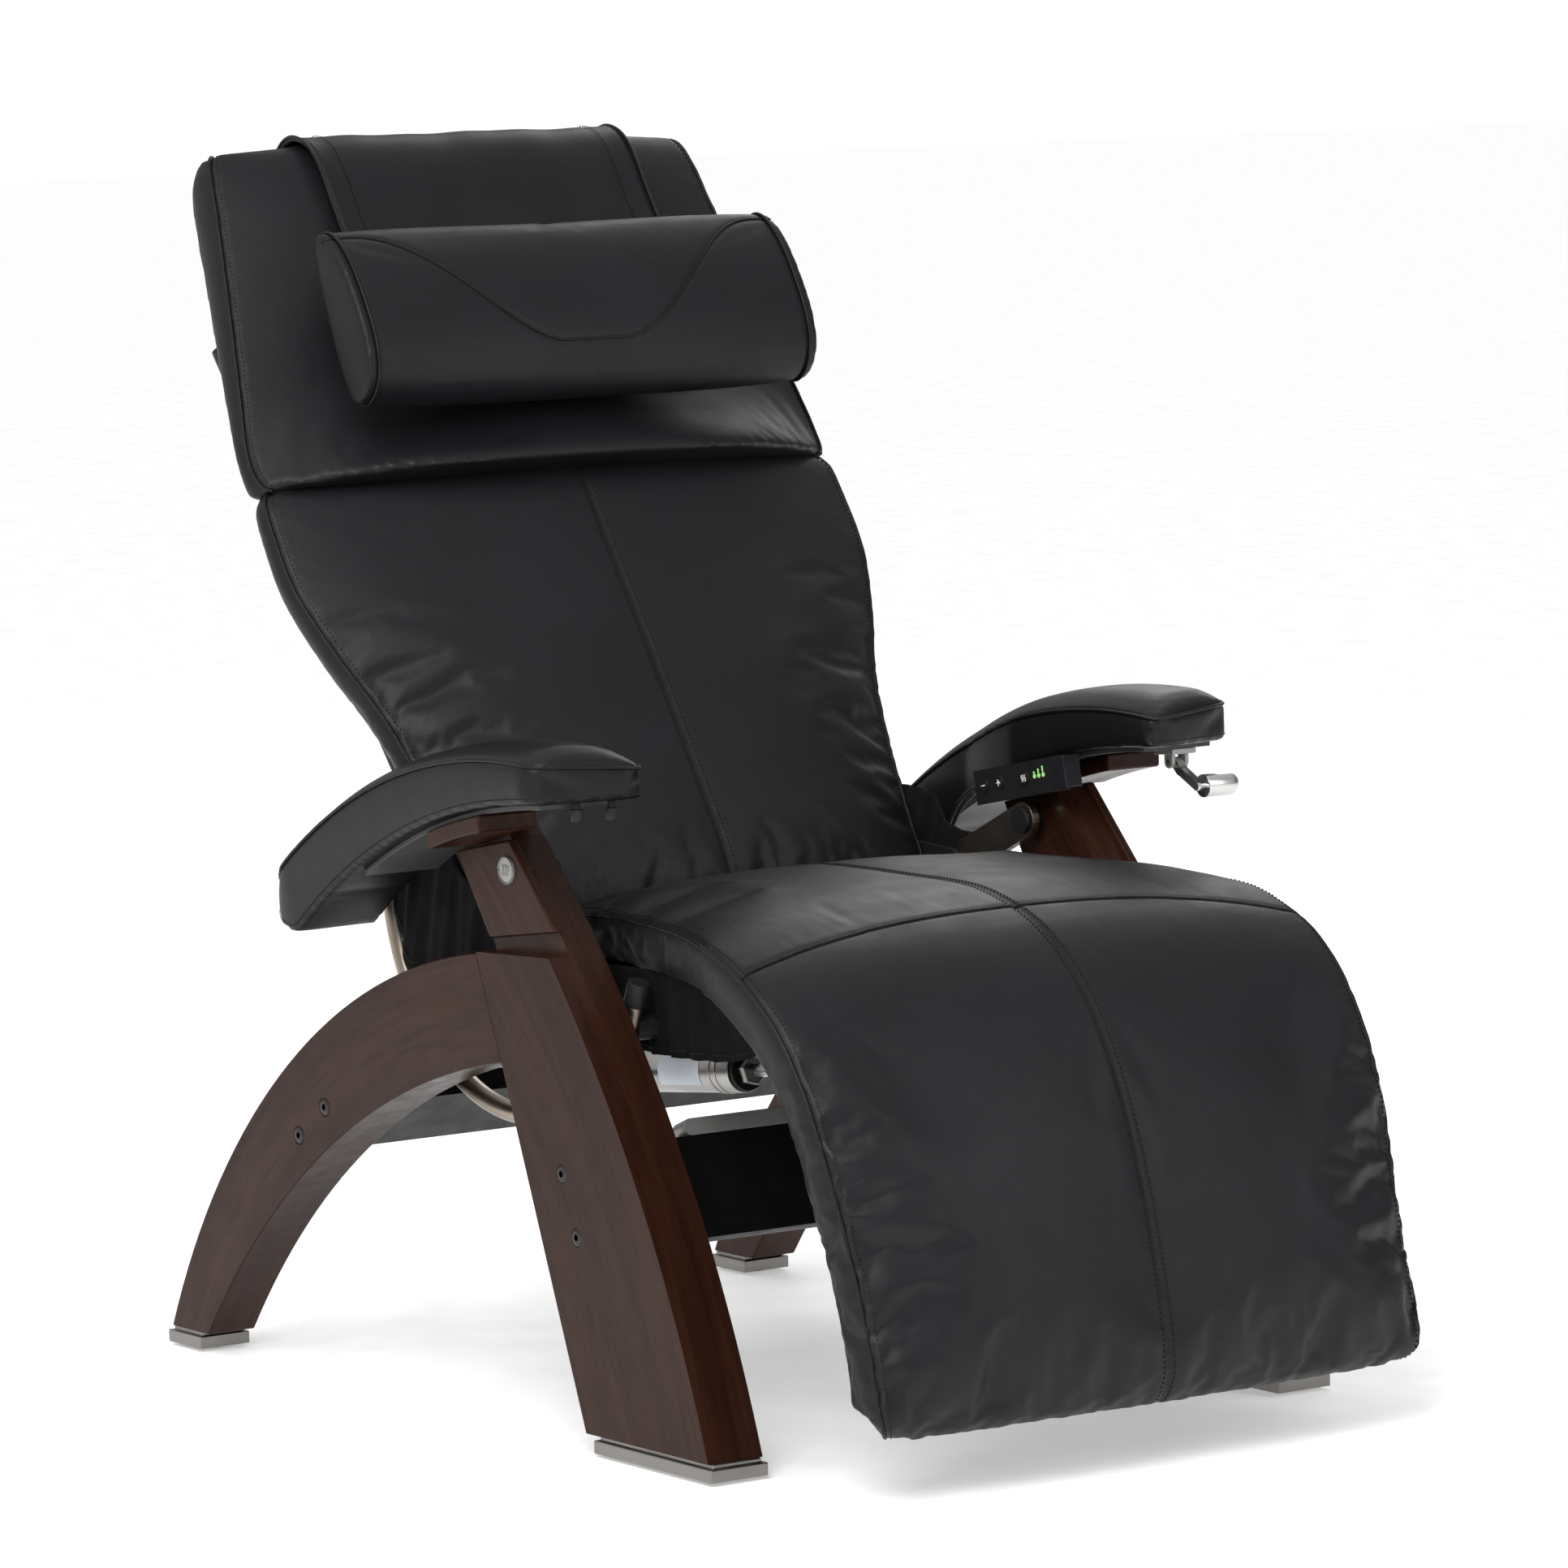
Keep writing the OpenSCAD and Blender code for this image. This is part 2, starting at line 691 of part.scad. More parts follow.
// Head section, which leans forward from the back
module head_pad() {
    color("#2a282c") on_back() intersection() {
        rotate([90, 0, 90]) translate([0, 0, -340]) linear_extrude(680) polygon([
            [480, -back_pad_t - 12], [480, -38], [520, -26], [760, -2], [812, -6],
            [838, -24], [840, -46], [820, -74], [790, -back_pad_t - 12]]);
        translate([0, 0, -150]) linear_extrude(300) polygon(both_sides([
            [327, 480], [326, 510], [278, 812], [264, 834], [240, 841]]));
    }
}

// Leather flap laid over the top of the head section
module head_flap() {
    w = flap_w / 2;
    color("#302e32") on_back() translate([-w, 0, 0]) rotate([90, 0, 90]) linear_extrude(flap_w) polygon([
        [728, -4.9], [728, 1], [760, 4], [816, 0], [844, -22], [846, -48], [824, -78], [795, -97],
        [790, -97], [790, -back_pad_t - 12.3],
        [820.3, -74], [840.3, -46], [838.3, -24], [812, -5.7], [760, -1.7]]);
}

module head_pillow() {
    w = pillow_w / 2;
    color("#302e32") on_back() translate([-w, 0, 0]) rotate([90, 0, 90]) linear_extrude(pillow_w) polygon([
        [512, -26], [504, 20], [516, 60], [560, 88], [620, 92], [668, 78], [688, 48], [686, 10], [676, -9.5]]);
}

// ---------- assembly ----------

front_leg();  // left_front_leg
mirror([1, 0, 0]) front_leg();  // right_front_leg
rear_arch();  // left_rear_arch
mirror([1, 0, 0]) rear_arch();  // right_rear_arch
post_cover();  // left_post_cover
mirror([1, 0, 0]) post_cover();  // right_post_cover
side_badges();
front_stretcher();
stretcher_rail();
rear_stretcher();
frame_bolts();
front_foot("cap");  // front_left_foot_cap
mirror([1, 0, 0]) front_foot("cap");  // front_right_foot_cap
rear_foot("cap");  // rear_left_foot_cap
mirror([1, 0, 0]) rear_foot("cap");  // rear_right_foot_cap
front_foot("leveller");  // front_left_leveller
mirror([1, 0, 0]) front_foot("leveller");  // front_right_leveller
rear_foot("leveller");  // rear_left_leveller
mirror([1, 0, 0]) rear_foot("leveller");  // rear_right_leveller
arm_block();  // left_arm_block
mirror([1, 0, 0]) arm_block();  // right_arm_block
arm_plate();  // left_arm_plate
mirror([1, 0, 0]) arm_plate();  // right_arm_plate
arm_pad();  // left_arm_pad
mirror([1, 0, 0]) arm_pad();  // right_arm_pad
spare_arm_bolts();
panel_housing();
panel_end_cap();
panel_lights();
panel_button(minus_u);  // minus_button
panel_button(plus_u);  // plus_button
panel_button(heat_u);  // heat_button
panel_leads();
control_box();
lever_bracket();
lever_bar();
lever_knob();
pivot_pins();
hip_arm();  // left_hip_arm
mirror([1, 0, 0]) hip_arm();  // right_hip_arm
bow_tube();  // left_bow_tube
mirror([1, 0, 0]) bow_tube();  // right_bow_tube
bow_end_caps();
front_cross_tube();
seat_deck();
leg_deck();
seat_leg_pad();
rod_lug();
rod_pin();
cylinder_mount();
lock_cylinder();
cylinder_gland();
lock_rod();
back_hinge_frame();
back_rails();
back_panel();
back_pad();
head_pad();
head_flap();
head_pillow();
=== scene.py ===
"""Looks of a zero gravity recliner: dark bentwood frames, black leather pads and small metal parts."""
import json
import math

import bpy
import numpy as np
from mathutils import Matrix, Vector
from mathutils.bvhtree import BVHTree
from mathutils.kdtree import KDTree


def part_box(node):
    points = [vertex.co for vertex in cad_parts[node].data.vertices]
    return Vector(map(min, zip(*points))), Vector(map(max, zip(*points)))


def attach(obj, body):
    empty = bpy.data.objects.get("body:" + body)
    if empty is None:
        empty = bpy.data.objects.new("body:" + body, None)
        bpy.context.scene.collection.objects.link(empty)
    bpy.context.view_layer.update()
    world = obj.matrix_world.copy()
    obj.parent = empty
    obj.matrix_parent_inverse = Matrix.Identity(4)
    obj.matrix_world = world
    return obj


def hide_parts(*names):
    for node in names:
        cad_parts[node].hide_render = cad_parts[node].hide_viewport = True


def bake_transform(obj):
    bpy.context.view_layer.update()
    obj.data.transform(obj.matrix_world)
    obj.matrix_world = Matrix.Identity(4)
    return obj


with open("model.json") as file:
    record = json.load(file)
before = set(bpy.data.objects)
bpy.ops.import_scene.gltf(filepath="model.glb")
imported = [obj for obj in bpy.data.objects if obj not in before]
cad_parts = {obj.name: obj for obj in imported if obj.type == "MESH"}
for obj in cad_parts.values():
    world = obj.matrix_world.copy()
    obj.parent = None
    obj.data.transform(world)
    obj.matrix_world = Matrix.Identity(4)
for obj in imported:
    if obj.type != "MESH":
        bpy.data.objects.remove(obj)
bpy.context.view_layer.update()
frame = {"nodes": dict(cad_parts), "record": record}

# The two sides of the chair by the sign of X, as the sitter names them
SIDES = ((1, "left"), (-1, "right"))

# The back's own frame, as in the CAD: s runs up the back and n out of its front
BACK_ORIGIN = Vector((0.0, 0.063, 0.475))
BACK_ANGLE = math.radians(56.8)
BACK_S = Vector((0.0, math.cos(BACK_ANGLE), math.sin(BACK_ANGLE)))
BACK_N = Vector((0.0, -math.sin(BACK_ANGLE), math.cos(BACK_ANGLE)))


def back_point(x, s, n):
    return BACK_ORIGIN + BACK_S * s + BACK_N * n + Vector((x, 0.0, 0.0))


# ---------- material nodes ----------

class Nodes:
    """Short names for building one node material."""

    def __init__(self, name, color, roughness, metallic=0.0):
        self.material = bpy.data.materials.new(name)
        self.material.use_nodes = True
        self.tree = self.material.node_tree
        self.shader = self.tree.nodes["Principled BSDF"]
        self.set(Base_Color=(*color, 1.0), Roughness=roughness, Metallic=metallic)
        self.place = self.add("ShaderNodeTexCoord").outputs["Object"]

    def feed(self, node, sockets):
        """Links or sets a node's inputs, whose names have underscores for spaces here."""
        for key, value in sockets.items():
            socket = node.inputs[key.replace("_", " ")]
            if isinstance(value, bpy.types.NodeSocket):
                self.tree.links.new(value, socket)
            else:
                socket.default_value = value

    def add(self, kind, **sockets):
        node = self.tree.nodes.new(kind)
        self.feed(node, sockets)
        return node

    def stretched(self, scale):
        return self.add("ShaderNodeMapping", Vector=self.place, Scale=scale).outputs["Vector"]

    def noise(self, scale, detail=4.0, vector=None, distortion=0.0):
        node = self.add("ShaderNodeTexNoise", Vector=vector or self.place, Scale=scale, Detail=detail,
                        Distortion=distortion)
        return node.outputs["Fac"]

    def ramp(self, value, low, high, *, start=0.35, end=0.65):
        node = self.add("ShaderNodeMapRange", Value=value, From_Min=start, From_Max=end, To_Min=low,
                        To_Max=high)
        return node.outputs["Result"]

    def mix(self, factor, first, second):
        node = self.tree.nodes.new("ShaderNodeMix")
        node.data_type = "RGBA"
        self.tree.links.new(factor, node.inputs["Factor"])
        for index, value in ((6, first), (7, second)):
            if isinstance(value, bpy.types.NodeSocket):
                self.tree.links.new(value, node.inputs[index])
            else:
                node.inputs[index].default_value = (*value, 1.0)
        return node.outputs[2]

    def bump(self, height, strength, distance, normal=None):
        node = self.add("ShaderNodeBump", Height=height, Strength=strength, Distance=distance)
        if normal is not None:
            self.tree.links.new(normal, node.inputs["Normal"])
        return node.outputs["Normal"]

    def set(self, **sockets):
        self.feed(self.shader, sockets)
        return self.material


def leather(name, color=(0.0066, 0.0062, 0.0072), gloss=0.44):
    """Full-grain leather: fine pebble grain, faint creases and slightly uneven sheen."""
    m = Nodes(name, color, gloss)
    pale = tuple(c * 1.25 for c in color)
    tone = m.ramp(m.noise(9.0, 5.0), 0.0, 1.0)
    grain = m.add("ShaderNodeTexVoronoi", Vector=m.place, Scale=750.0, Randomness=1.0)
    creases = m.noise(95.0, 6.0, distortion=0.6)
    normal = m.bump(grain.outputs["Distance"], 0.22, 0.0004)
    normal = m.bump(creases, 0.16, 0.0010, normal)
    rough = m.ramp(m.noise(30.0, 5.0), gloss - 0.02, gloss + 0.04)
    m.set(Specular_IOR_Level=0.26)
    return m.set(Base_Color=m.mix(tone, color, pale), Roughness=rough, Normal=normal)


def wood(name, centre, dark=(0.019, 0.0066, 0.0038), pale=(0.043, 0.0150, 0.0086)):
    """Bent walnut veneer: its grain follows circles round a centre in the YZ plane."""
    m = Nodes(name, dark, 0.34)
    offset = m.add("ShaderNodeVectorMath", Vector=m.place)
    offset.operation = "SUBTRACT"
    offset.inputs[1].default_value = (0.0, centre[0], centre[1])
    parts = m.add("ShaderNodeSeparateXYZ", Vector=offset.outputs["Vector"])
    flat = m.add("ShaderNodeCombineXYZ", Y=parts.outputs["Y"], Z=parts.outputs["Z"])
    length = m.add("ShaderNodeVectorMath", Vector=flat.outputs["Vector"])
    length.operation = "LENGTH"
    angle = m.add("ShaderNodeMath")
    angle.operation = "ARCTAN2"
    m.tree.links.new(parts.outputs["Z"], angle.inputs[0])
    m.tree.links.new(parts.outputs["Y"], angle.inputs[1])
    along = m.add("ShaderNodeCombineXYZ", X=parts.outputs["X"], Y=length.outputs["Value"],
                  Z=angle.outputs["Value"])
    grain_place = m.add("ShaderNodeMapping", Vector=along.outputs["Vector"],
                        Scale=(1.0, 1.0, 0.07)).outputs["Vector"]
    broad = m.noise(26.0, 6.0, grain_place, 0.5)
    fine = m.noise(210.0, 3.0, grain_place)
    pores = m.noise(620.0, 2.0, grain_place)
    tone = m.mix(m.ramp(broad, 0.0, 1.0, start=0.3, end=0.7), dark, pale)
    lined = m.mix(m.ramp(fine, 0.0, 0.45, start=0.45, end=0.62), tone, tuple(c * 0.6 for c in dark))
    rough = m.ramp(m.noise(45.0, 4.0), 0.27, 0.38)
    m.set(Specular_IOR_Level=0.12, Coat_Weight=0.03, Coat_Roughness=0.12)
    return m.set(Base_Color=lined, Roughness=rough, Normal=m.bump(pores, 0.03, 0.0004))


def metal(name, color, roughness, brushed=0.0, along=(1.0, 1.0, 1.0)):
    """Bare or plated metal with faint brush lines and smudges."""
    m = Nodes(name, color, roughness, 1.0)
    lines = m.noise(900.0, 2.0, m.stretched(along))
    smudge = m.ramp(m.noise(22.0, 5.0), max(roughness - 0.05, 0.03), roughness + 0.07)
    return m.set(Roughness=smudge, Normal=m.bump(lines, 0.04 + brushed, 0.0004))


def paint(name, color, roughness, texture=260.0, relief=0.10, metallic=0.0):
    """Paint, powder coat or moulded plastic with a fine skin."""
    m = Nodes(name, color, roughness, metallic)
    worn = m.mix(m.ramp(m.noise(14.0, 5.0), 0.0, 1.0), color, tuple(min(c * 1.35, 1.0) for c in color))
    rough = m.ramp(m.noise(40.0, 4.0), roughness - 0.05, roughness + 0.06)
    if metallic == 0.0:
        m.set(Specular_IOR_Level=0.25)
    return m.set(Base_Color=worn, Roughness=rough, Normal=m.bump(m.noise(texture, 4.0), relief, 0.0004))


def glow(name, color, strength):
    m = Nodes(name, color, 0.3)
    shade = m.ramp(m.noise(300.0), 0.8, 1.0)
    m.set(Emission_Color=(*color, 1.0), Emission_Strength=strength)
    return m.set(Base_Color=m.mix(shade, tuple(c * 0.7 for c in color), color))


# Centres (y, z) of the bends that the wood grain follows
LEG_ARC = (0.873, -0.389)
ARCH_ARC = (-0.146, -0.400)

LEATHER = leather("pad leather", (0.0066, 0.0060, 0.0076))
ARM_LEATHER = leather("arm leather", (0.0052, 0.0050, 0.0057), 0.38)
PIPING = leather("piping leather", (0.0045, 0.0044, 0.0050), 0.40)
THREAD = paint("black thread", (0.006, 0.006, 0.0065), 0.6, 1500.0, 0.3)
LEG_WOOD = wood("walnut of the legs", LEG_ARC)
ARCH_WOOD = wood("walnut of the arches", ARCH_ARC)
NICKEL = metal("brushed nickel", (0.25, 0.24, 0.225), 0.33, 0.14, (0.02, 0.02, 1.0))
CHROME = metal("satin chrome", (0.62, 0.62, 0.61), 0.24)
GREY_METAL = paint("satin aluminium", (0.30, 0.30, 0.29), 0.40, 500.0, 0.04, 0.35)
BRONZE = metal("champagne bronze", (0.32, 0.27, 0.22), 0.30, 0.04)
SILVER = metal("silver cylinder", (0.42, 0.41, 0.39), 0.28, 0.08, (1.0, 0.03, 0.03))
BLACK_STEEL = paint("black powder coat", (0.010, 0.010, 0.011), 0.45, 700.0, 0.2)
BLACK_BOARD = paint("satin black board", (0.0045, 0.0040, 0.0040), 0.40, 120.0, 0.05)
BLACK_PLASTIC = paint("black plastic", (0.012, 0.012, 0.013), 0.42, 900.0, 0.15)
GLOSS_PLASTIC = paint("glossy plastic", (0.012, 0.012, 0.014), 0.12, 60.0, 0.02)
LEAD_RUBBER = paint("lead rubber", (0.008, 0.008, 0.008), 0.5, 500.0, 0.1)
LIGHT_GREEN = glow("green light", (0.35, 0.75, 0.25), 0.45)
SIGN_WHITE = paint("printed signs", (0.75, 0.76, 0.76), 0.5, 400.0, 0.02)
# Painted shade: the arm plates are light grey steel, coloured near black so that they read as the shade under
# the arm pads.
PLATE_PAINTED_SHADE = paint("arm plate painted shade", (0.05, 0.05, 0.05), 0.45, 300.0, 0.05)
LABEL = paint("blank label", (0.62, 0.66, 0.72), 0.45, 300.0, 0.02)
CLOTH = paint("black upholstery cloth", (0.0030, 0.0029, 0.0030), 0.90, 1400.0, 0.5)
DARK_METAL = metal("darkened metal", (0.22, 0.22, 0.21), 0.35, 0.05)
BOLT_FACE = metal("blackened bolt steel", (0.060, 0.055, 0.052), 0.42, 0.05)

SLOT_MATERIALS = {
    "walnut": LEG_WOOD, "cover_veneer": LEG_WOOD, "badge_metal": GREY_METAL,
    "black_board": BLACK_BOARD, "grey_metal": GREY_METAL, "black_steel": BLACK_STEEL,
    "nickel": NICKEL, "black_plastic": BLACK_PLASTIC, "arm_leather": ARM_LEATHER,
    "pad_leather": LEATHER, "pillow_leather": LEATHER, "panel_plastic": BLACK_PLASTIC,
    "panel_gloss": GLOSS_PLASTIC, "green_light": LIGHT_GREEN, "button_plastic": BLACK_PLASTIC,
    "lead_rubber": LEAD_RUBBER, "chrome": CHROME, "bronze_tube": BRONZE, "cylinder_metal": SILVER,
}
# CAD nodes with "plate" in their name get the near-black painted shade of the arm plates.
NAMED_MATERIALS = {"arch": ARCH_WOOD, "plate": PLATE_PAINTED_SHADE}
BEVELS = {
    "walnut": 0.0025, "cover_veneer": 0.0025, "black_board": 0.0015, "nickel": 0.0012, "grey_metal": 0.0008,
    "black_steel": 0.0008, "black_plastic": 0.0008, "panel_plastic": 0.0012, "panel_gloss": 0.0015,
    "chrome": 0.0008, "cylinder_metal": 0.001, "button_plastic": 0.0006, "bronze_tube": 0.0008,
}


def round_edges(piece, width):
    """Welds a carried-over CAD node and rounds its edges, by modifiers only."""
    weld = piece.modifiers.new("weld", "WELD")
    weld.merge_threshold = 0.00002
    flat = piece.modifiers.new("join flat faces", "DECIMATE")
    flat.decimate_type = "DISSOLVE"
    flat.angle_limit = math.radians(0.5)
    bevel = piece.modifiers.new("round edges", "BEVEL")
    bevel.width = width
    bevel.segments = 3
    bevel.limit_method = "ANGLE"
    bevel.angle_limit = math.radians(35)
    bevel.harden_normals = True


def dress_cad_nodes():
    """Gives every carried-over CAD node the material of its slot, or of a word in its name."""
    slots = {row["node"]: row["material_slot"] for row in frame["record"]["subparts"]}
    for name, piece in frame["nodes"].items():
        slot = slots[name]
        finish = [material for word, material in NAMED_MATERIALS.items() if word in name]
        finish.append(SLOT_MATERIALS[slot])
        piece.data.materials.clear()
        piece.data.materials.append(finish[0])
        if slot in BEVELS:
            round_edges(piece, BEVELS[slot])


# ---------- mesh helpers ----------

def mesh_piece(name, points, faces, material, smooth=True):
    mesh = bpy.data.meshes.new(name)
    mesh.from_pydata([tuple(p) for p in points], [], faces)
    mesh.validate()
    mesh.materials.append(material)
    mesh.polygons.foreach_set("use_smooth", [smooth] * len(mesh.polygons))
    piece = bpy.data.objects.new(name, mesh)
    bpy.context.collection.objects.link(piece)
    return piece


def skin_faces(rings, count):
    """Quads between successive rings of points, and one face that closes each end."""
    faces = []
    for i in range(rings - 1):
        for k in range(count):
            a, b = i * count + k, i * count + (k + 1) % count
            faces.append((a, b, b + count, a + count))
    faces.append(tuple(range(count))[::-1])
    faces.append(tuple((rings - 1) * count + k for k in range(count)))
    return faces


def smooth_line(points, count):
    """Catmull-Rom curve through the points, sampled evenly along its length."""
    p = np.array([tuple(q) for q in points], float)
    ends = np.vstack([2 * p[0] - p[1], p, 2 * p[-1] - p[-2]])
    fine = []
    for i in range(len(p) - 1):
        a, b, c, d = ends[i:i + 4]
        for t in np.linspace(0, 1, 24, endpoint=False):
            fine.append(0.5 * (2 * b + (c - a) * t + (2 * a - 5 * b + 4 * c - d) * t**2
                               + (3 * b - a - 3 * c + d) * t**3))
    fine.append(p[-1])
    fine = np.array(fine)
    run = np.concatenate([[0], np.cumsum(np.linalg.norm(np.diff(fine, axis=0), axis=1))])
    places = np.linspace(0, run[-1], count)
    return np.stack([np.interp(places, run, fine[:, k]) for k in range(fine.shape[1])], axis=1)


def tube(name, line, radius, material, sides=8):
    """Round cord along a line of points, with its ends closed."""
    line = np.asarray(line, float)
    step = np.gradient(line, axis=0)
    step /= np.linalg.norm(step, axis=1, keepdims=True) + 1e-12
    side = np.cross(step[0], (0.31, 0.52, 0.79))
    points = []
    for i, centre in enumerate(line):
        side = side - step[i] * np.dot(side, step[i])
        side /= np.linalg.norm(side)
        other = np.cross(step[i], side)
        for k in range(sides):
            turn = 2 * math.pi * k / sides
            points.append(centre + radius * (math.cos(turn) * side + math.sin(turn) * other))
    return mesh_piece(name, points, skin_faces(len(line), sides), material)


THREAD_SIDES = 5


def stitches(name, line, normals, length=0.0032, gap=0.0016, radius=0.00055):
    """A row of short raised threads along a line."""
    line = np.asarray(line, float)
    run = np.concatenate([[0], np.cumsum(np.linalg.norm(np.diff(line, axis=0), axis=1))])
    points = []
    faces = []
    for start in np.arange(0, run[-1] - length, length + gap):
        ends = [np.array([np.interp(s, run, line[:, k]) for k in range(3)]) for s in (start, start + length)]
        up = np.array([np.interp(start, run, normals[:, k]) for k in range(3)])
        along = ends[1] - ends[0]
        side = np.cross(along, up)
        side /= np.linalg.norm(side) + 1e-12
        base = len(points)
        for share, scale, rise in ((0.0, 0.3, 0.1), (0.3, 1.0, 1.1), (0.7, 1.0, 1.1), (1.0, 0.3, 0.1)):
            middle = ends[0] + along * share + up * radius * rise
            for k in range(THREAD_SIDES):
                turn = 2 * math.pi * k / THREAD_SIDES
                points.append(middle + radius * scale * (math.cos(turn) * side + math.sin(turn) * up))
        for band in range(3):
            first = base + band * THREAD_SIDES
            for k in range(THREAD_SIDES):
                i, j = first + k, first + (k + 1) % THREAD_SIDES
                faces.append((i, j, j + THREAD_SIDES, i + THREAD_SIDES))
    return mesh_piece(name, points, faces, THREAD)


def arrays(piece):
    mesh = piece.data
    co = np.empty(len(mesh.vertices) * 3)
    no = np.empty(len(mesh.vertices) * 3)
    mesh.vertices.foreach_get("co", co)
    mesh.vertices.foreach_get("normal", no)
    return co.reshape(-1, 3), no.reshape(-1, 3)


def set_points(piece, co):
    piece.data.vertices.foreach_set("co", np.asarray(co, float).ravel())
    piece.data.update()


def apply_modifiers(piece):
    dg = bpy.context.evaluated_depsgraph_get()
    mesh = bpy.data.meshes.new_from_object(piece.evaluated_get(dg))
    piece.modifiers.clear()
    piece.data = mesh
    mesh.polygons.foreach_set("use_smooth", [True] * len(mesh.polygons))


def near_line(co, line):
    """Distance of every point to the nearest sample of a line."""
    tree = KDTree(len(line))
    for i, p in enumerate(line):
        tree.insert(p, i)
    tree.balance()
    return np.array([tree.find(p)[2] for p in co])


DROP_FROM, DROP_REACH = 0.06, 0.13


def surface_of(piece):
    co, _ = arrays(piece)
    return BVHTree.FromPolygons([tuple(c) for c in co], [tuple(p.vertices) for p in piece.data.polygons])


def nearest_on(piece, line, lift):
    """The line moved to the nearest places on the piece's surface, and lifted off it."""
    surface = surface_of(piece)
    found = []
    for p in line:
        hit = surface.find_nearest(Vector(p))
        found.append(tuple(hit[0] + hit[1] * lift))
    return np.array(found)


def laid_on(piece, line, lift, toward):
    """The line dropped on the piece's surface from above, and the surface's normals there."""
    surface = surface_of(piece)
    laid = []
    normals = []
    for p, out in zip(line, toward):
        out = Vector(out)
        hit = surface.ray_cast(Vector(p) + out * DROP_FROM, -out, DROP_REACH)
        if hit[0] is None:
            hit = surface.find_nearest(Vector(p))
        laid.append(hit[0] + hit[1] * lift)
        normals.append(hit[1])
    return np.array([tuple(p) for p in laid]), np.array([tuple(n) for n in normals])


def bell(distance, width):
    return np.exp(-(distance / width) ** 2)


def groove(piece, line, width, depth):
    """Presses a soft groove along a line into a surface."""
    co, no = arrays(piece)
    set_points(piece, co - no * (depth * bell(near_line(co, line), width))[:, None])


HOLD_WIDTH = 0.008
SPARE_LEATHER = 0.060
CLOTH_STEPS = 20


def puff(piece, held, voxel, cap, pressure, gathers=None):
    """Cloth simulation of a stuffed cover: held lines stay and the leather between them swells.

    cap is the furthest that a point may move, and gathers gives each point a share from 0 to 1 of the
    spare leather that wrinkles there.
    """
    remesh = piece.modifiers.new("remesh", "REMESH")
    remesh.mode = "VOXEL"
    remesh.voxel_size = voxel
    apply_modifiers(piece)
    start, _ = arrays(piece)
    pin = piece.vertex_groups.new(name="held")
    for i, w in enumerate(bell(near_line(start, held), HOLD_WIDTH)):
        if w > 0.02:
            pin.add([i], float(min(w, 1.0)), "REPLACE")
    cloth = piece.modifiers.new("cloth", "CLOTH")
    settings = cloth.settings
    settings.quality = 5
    settings.mass = 0.3
    settings.tension_stiffness = 40
    settings.compression_stiffness = 40
    settings.shear_stiffness = 20
    settings.bending_stiffness = 2.5
    settings.use_pressure = True
    settings.uniform_pressure_force = pressure
    if gathers is not None:
        taut = piece.vertex_groups.new(name="taut")
        for i, share in enumerate(gathers(start)):
            taut.add([i], float(1.0 - share), "REPLACE")
        settings.vertex_group_shrink = "taut"
        settings.shrink_min = -SPARE_LEATHER
    settings.vertex_group_mass = "held"
    settings.effector_weights.gravity = 0
    cloth.collision_settings.use_collision = False
    for step in range(1, CLOTH_STEPS + 1):
        bpy.context.scene.frame_set(step)
    apply_modifiers(piece)
    moved, _ = arrays(piece)
    delta = moved - start
    size = np.linalg.norm(delta, axis=1, keepdims=True) + 1e-9
    set_points(piece, start + delta * np.minimum(1.0, cap / size))
    bpy.context.scene.frame_set(1)
    finer = piece.modifiers.new("finer", "SUBSURF")
    finer.levels = 1
    finer.render_levels = 1
    apply_modifiers(piece)


def pad_mesh(name, rows, material):
    """Closed skin over rows of points that all have the same count; each row is one closed ring."""
    points = [p for row in rows for p in row]
    return mesh_piece(name, points, skin_faces(len(rows), len(rows[0])), material)


WALL_BULGE = 0.006
SEAT_CROWN_POWER = 2.6


def ring(centre, out, half_w, wall, crown, flat, inset, droop=Vector()):
    """One closed ring across a pad: crowned top, slightly bulging walls and a flat underside.

    flat is the power that squares the crown off, and droop shifts its middle along the pad.
    """
    points = []
    for u in np.linspace(-1, 1, 33):
        points.append(centre + Vector((half_w * u, 0, 0)) + (out * crown + droop) * (1 - abs(u) ** flat))
    for v in np.linspace(0, 1, 7)[1:]:
        side = half_w + WALL_BULGE * math.sin(math.pi * v) - inset * v
        points.append(centre + Vector((side, 0, 0)) - out * wall * v)
    for u in np.linspace(1, -1, 21)[1:-1]:
        points.append(centre + Vector(((half_w - inset) * u, 0, 0)) - out * wall)
    for v in np.linspace(1, 0, 7)[:-1]:
        side = half_w + WALL_BULGE * math.sin(math.pi * v) - inset * v
        points.append(centre + Vector((-side, 0, 0)) - out * wall * v)
    return points


def own(piece, body):
    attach(piece, body)
    return piece


def resample(rows, count):
    rows = np.asarray(rows, float)
    places = np.linspace(0, len(rows) - 1, count)
    return np.stack([np.interp(places, range(len(rows)), rows[:, k]) for k in range(rows.shape[1])], axis=1)


COVER_VOXEL = 0.0065
SMALL_VOXEL = 0.005
PIPING_GROOVE = (0.005, 0.0012)
SEAM_GROOVE = (0.0035, 0.0022)
STITCH_INSET = 0.006


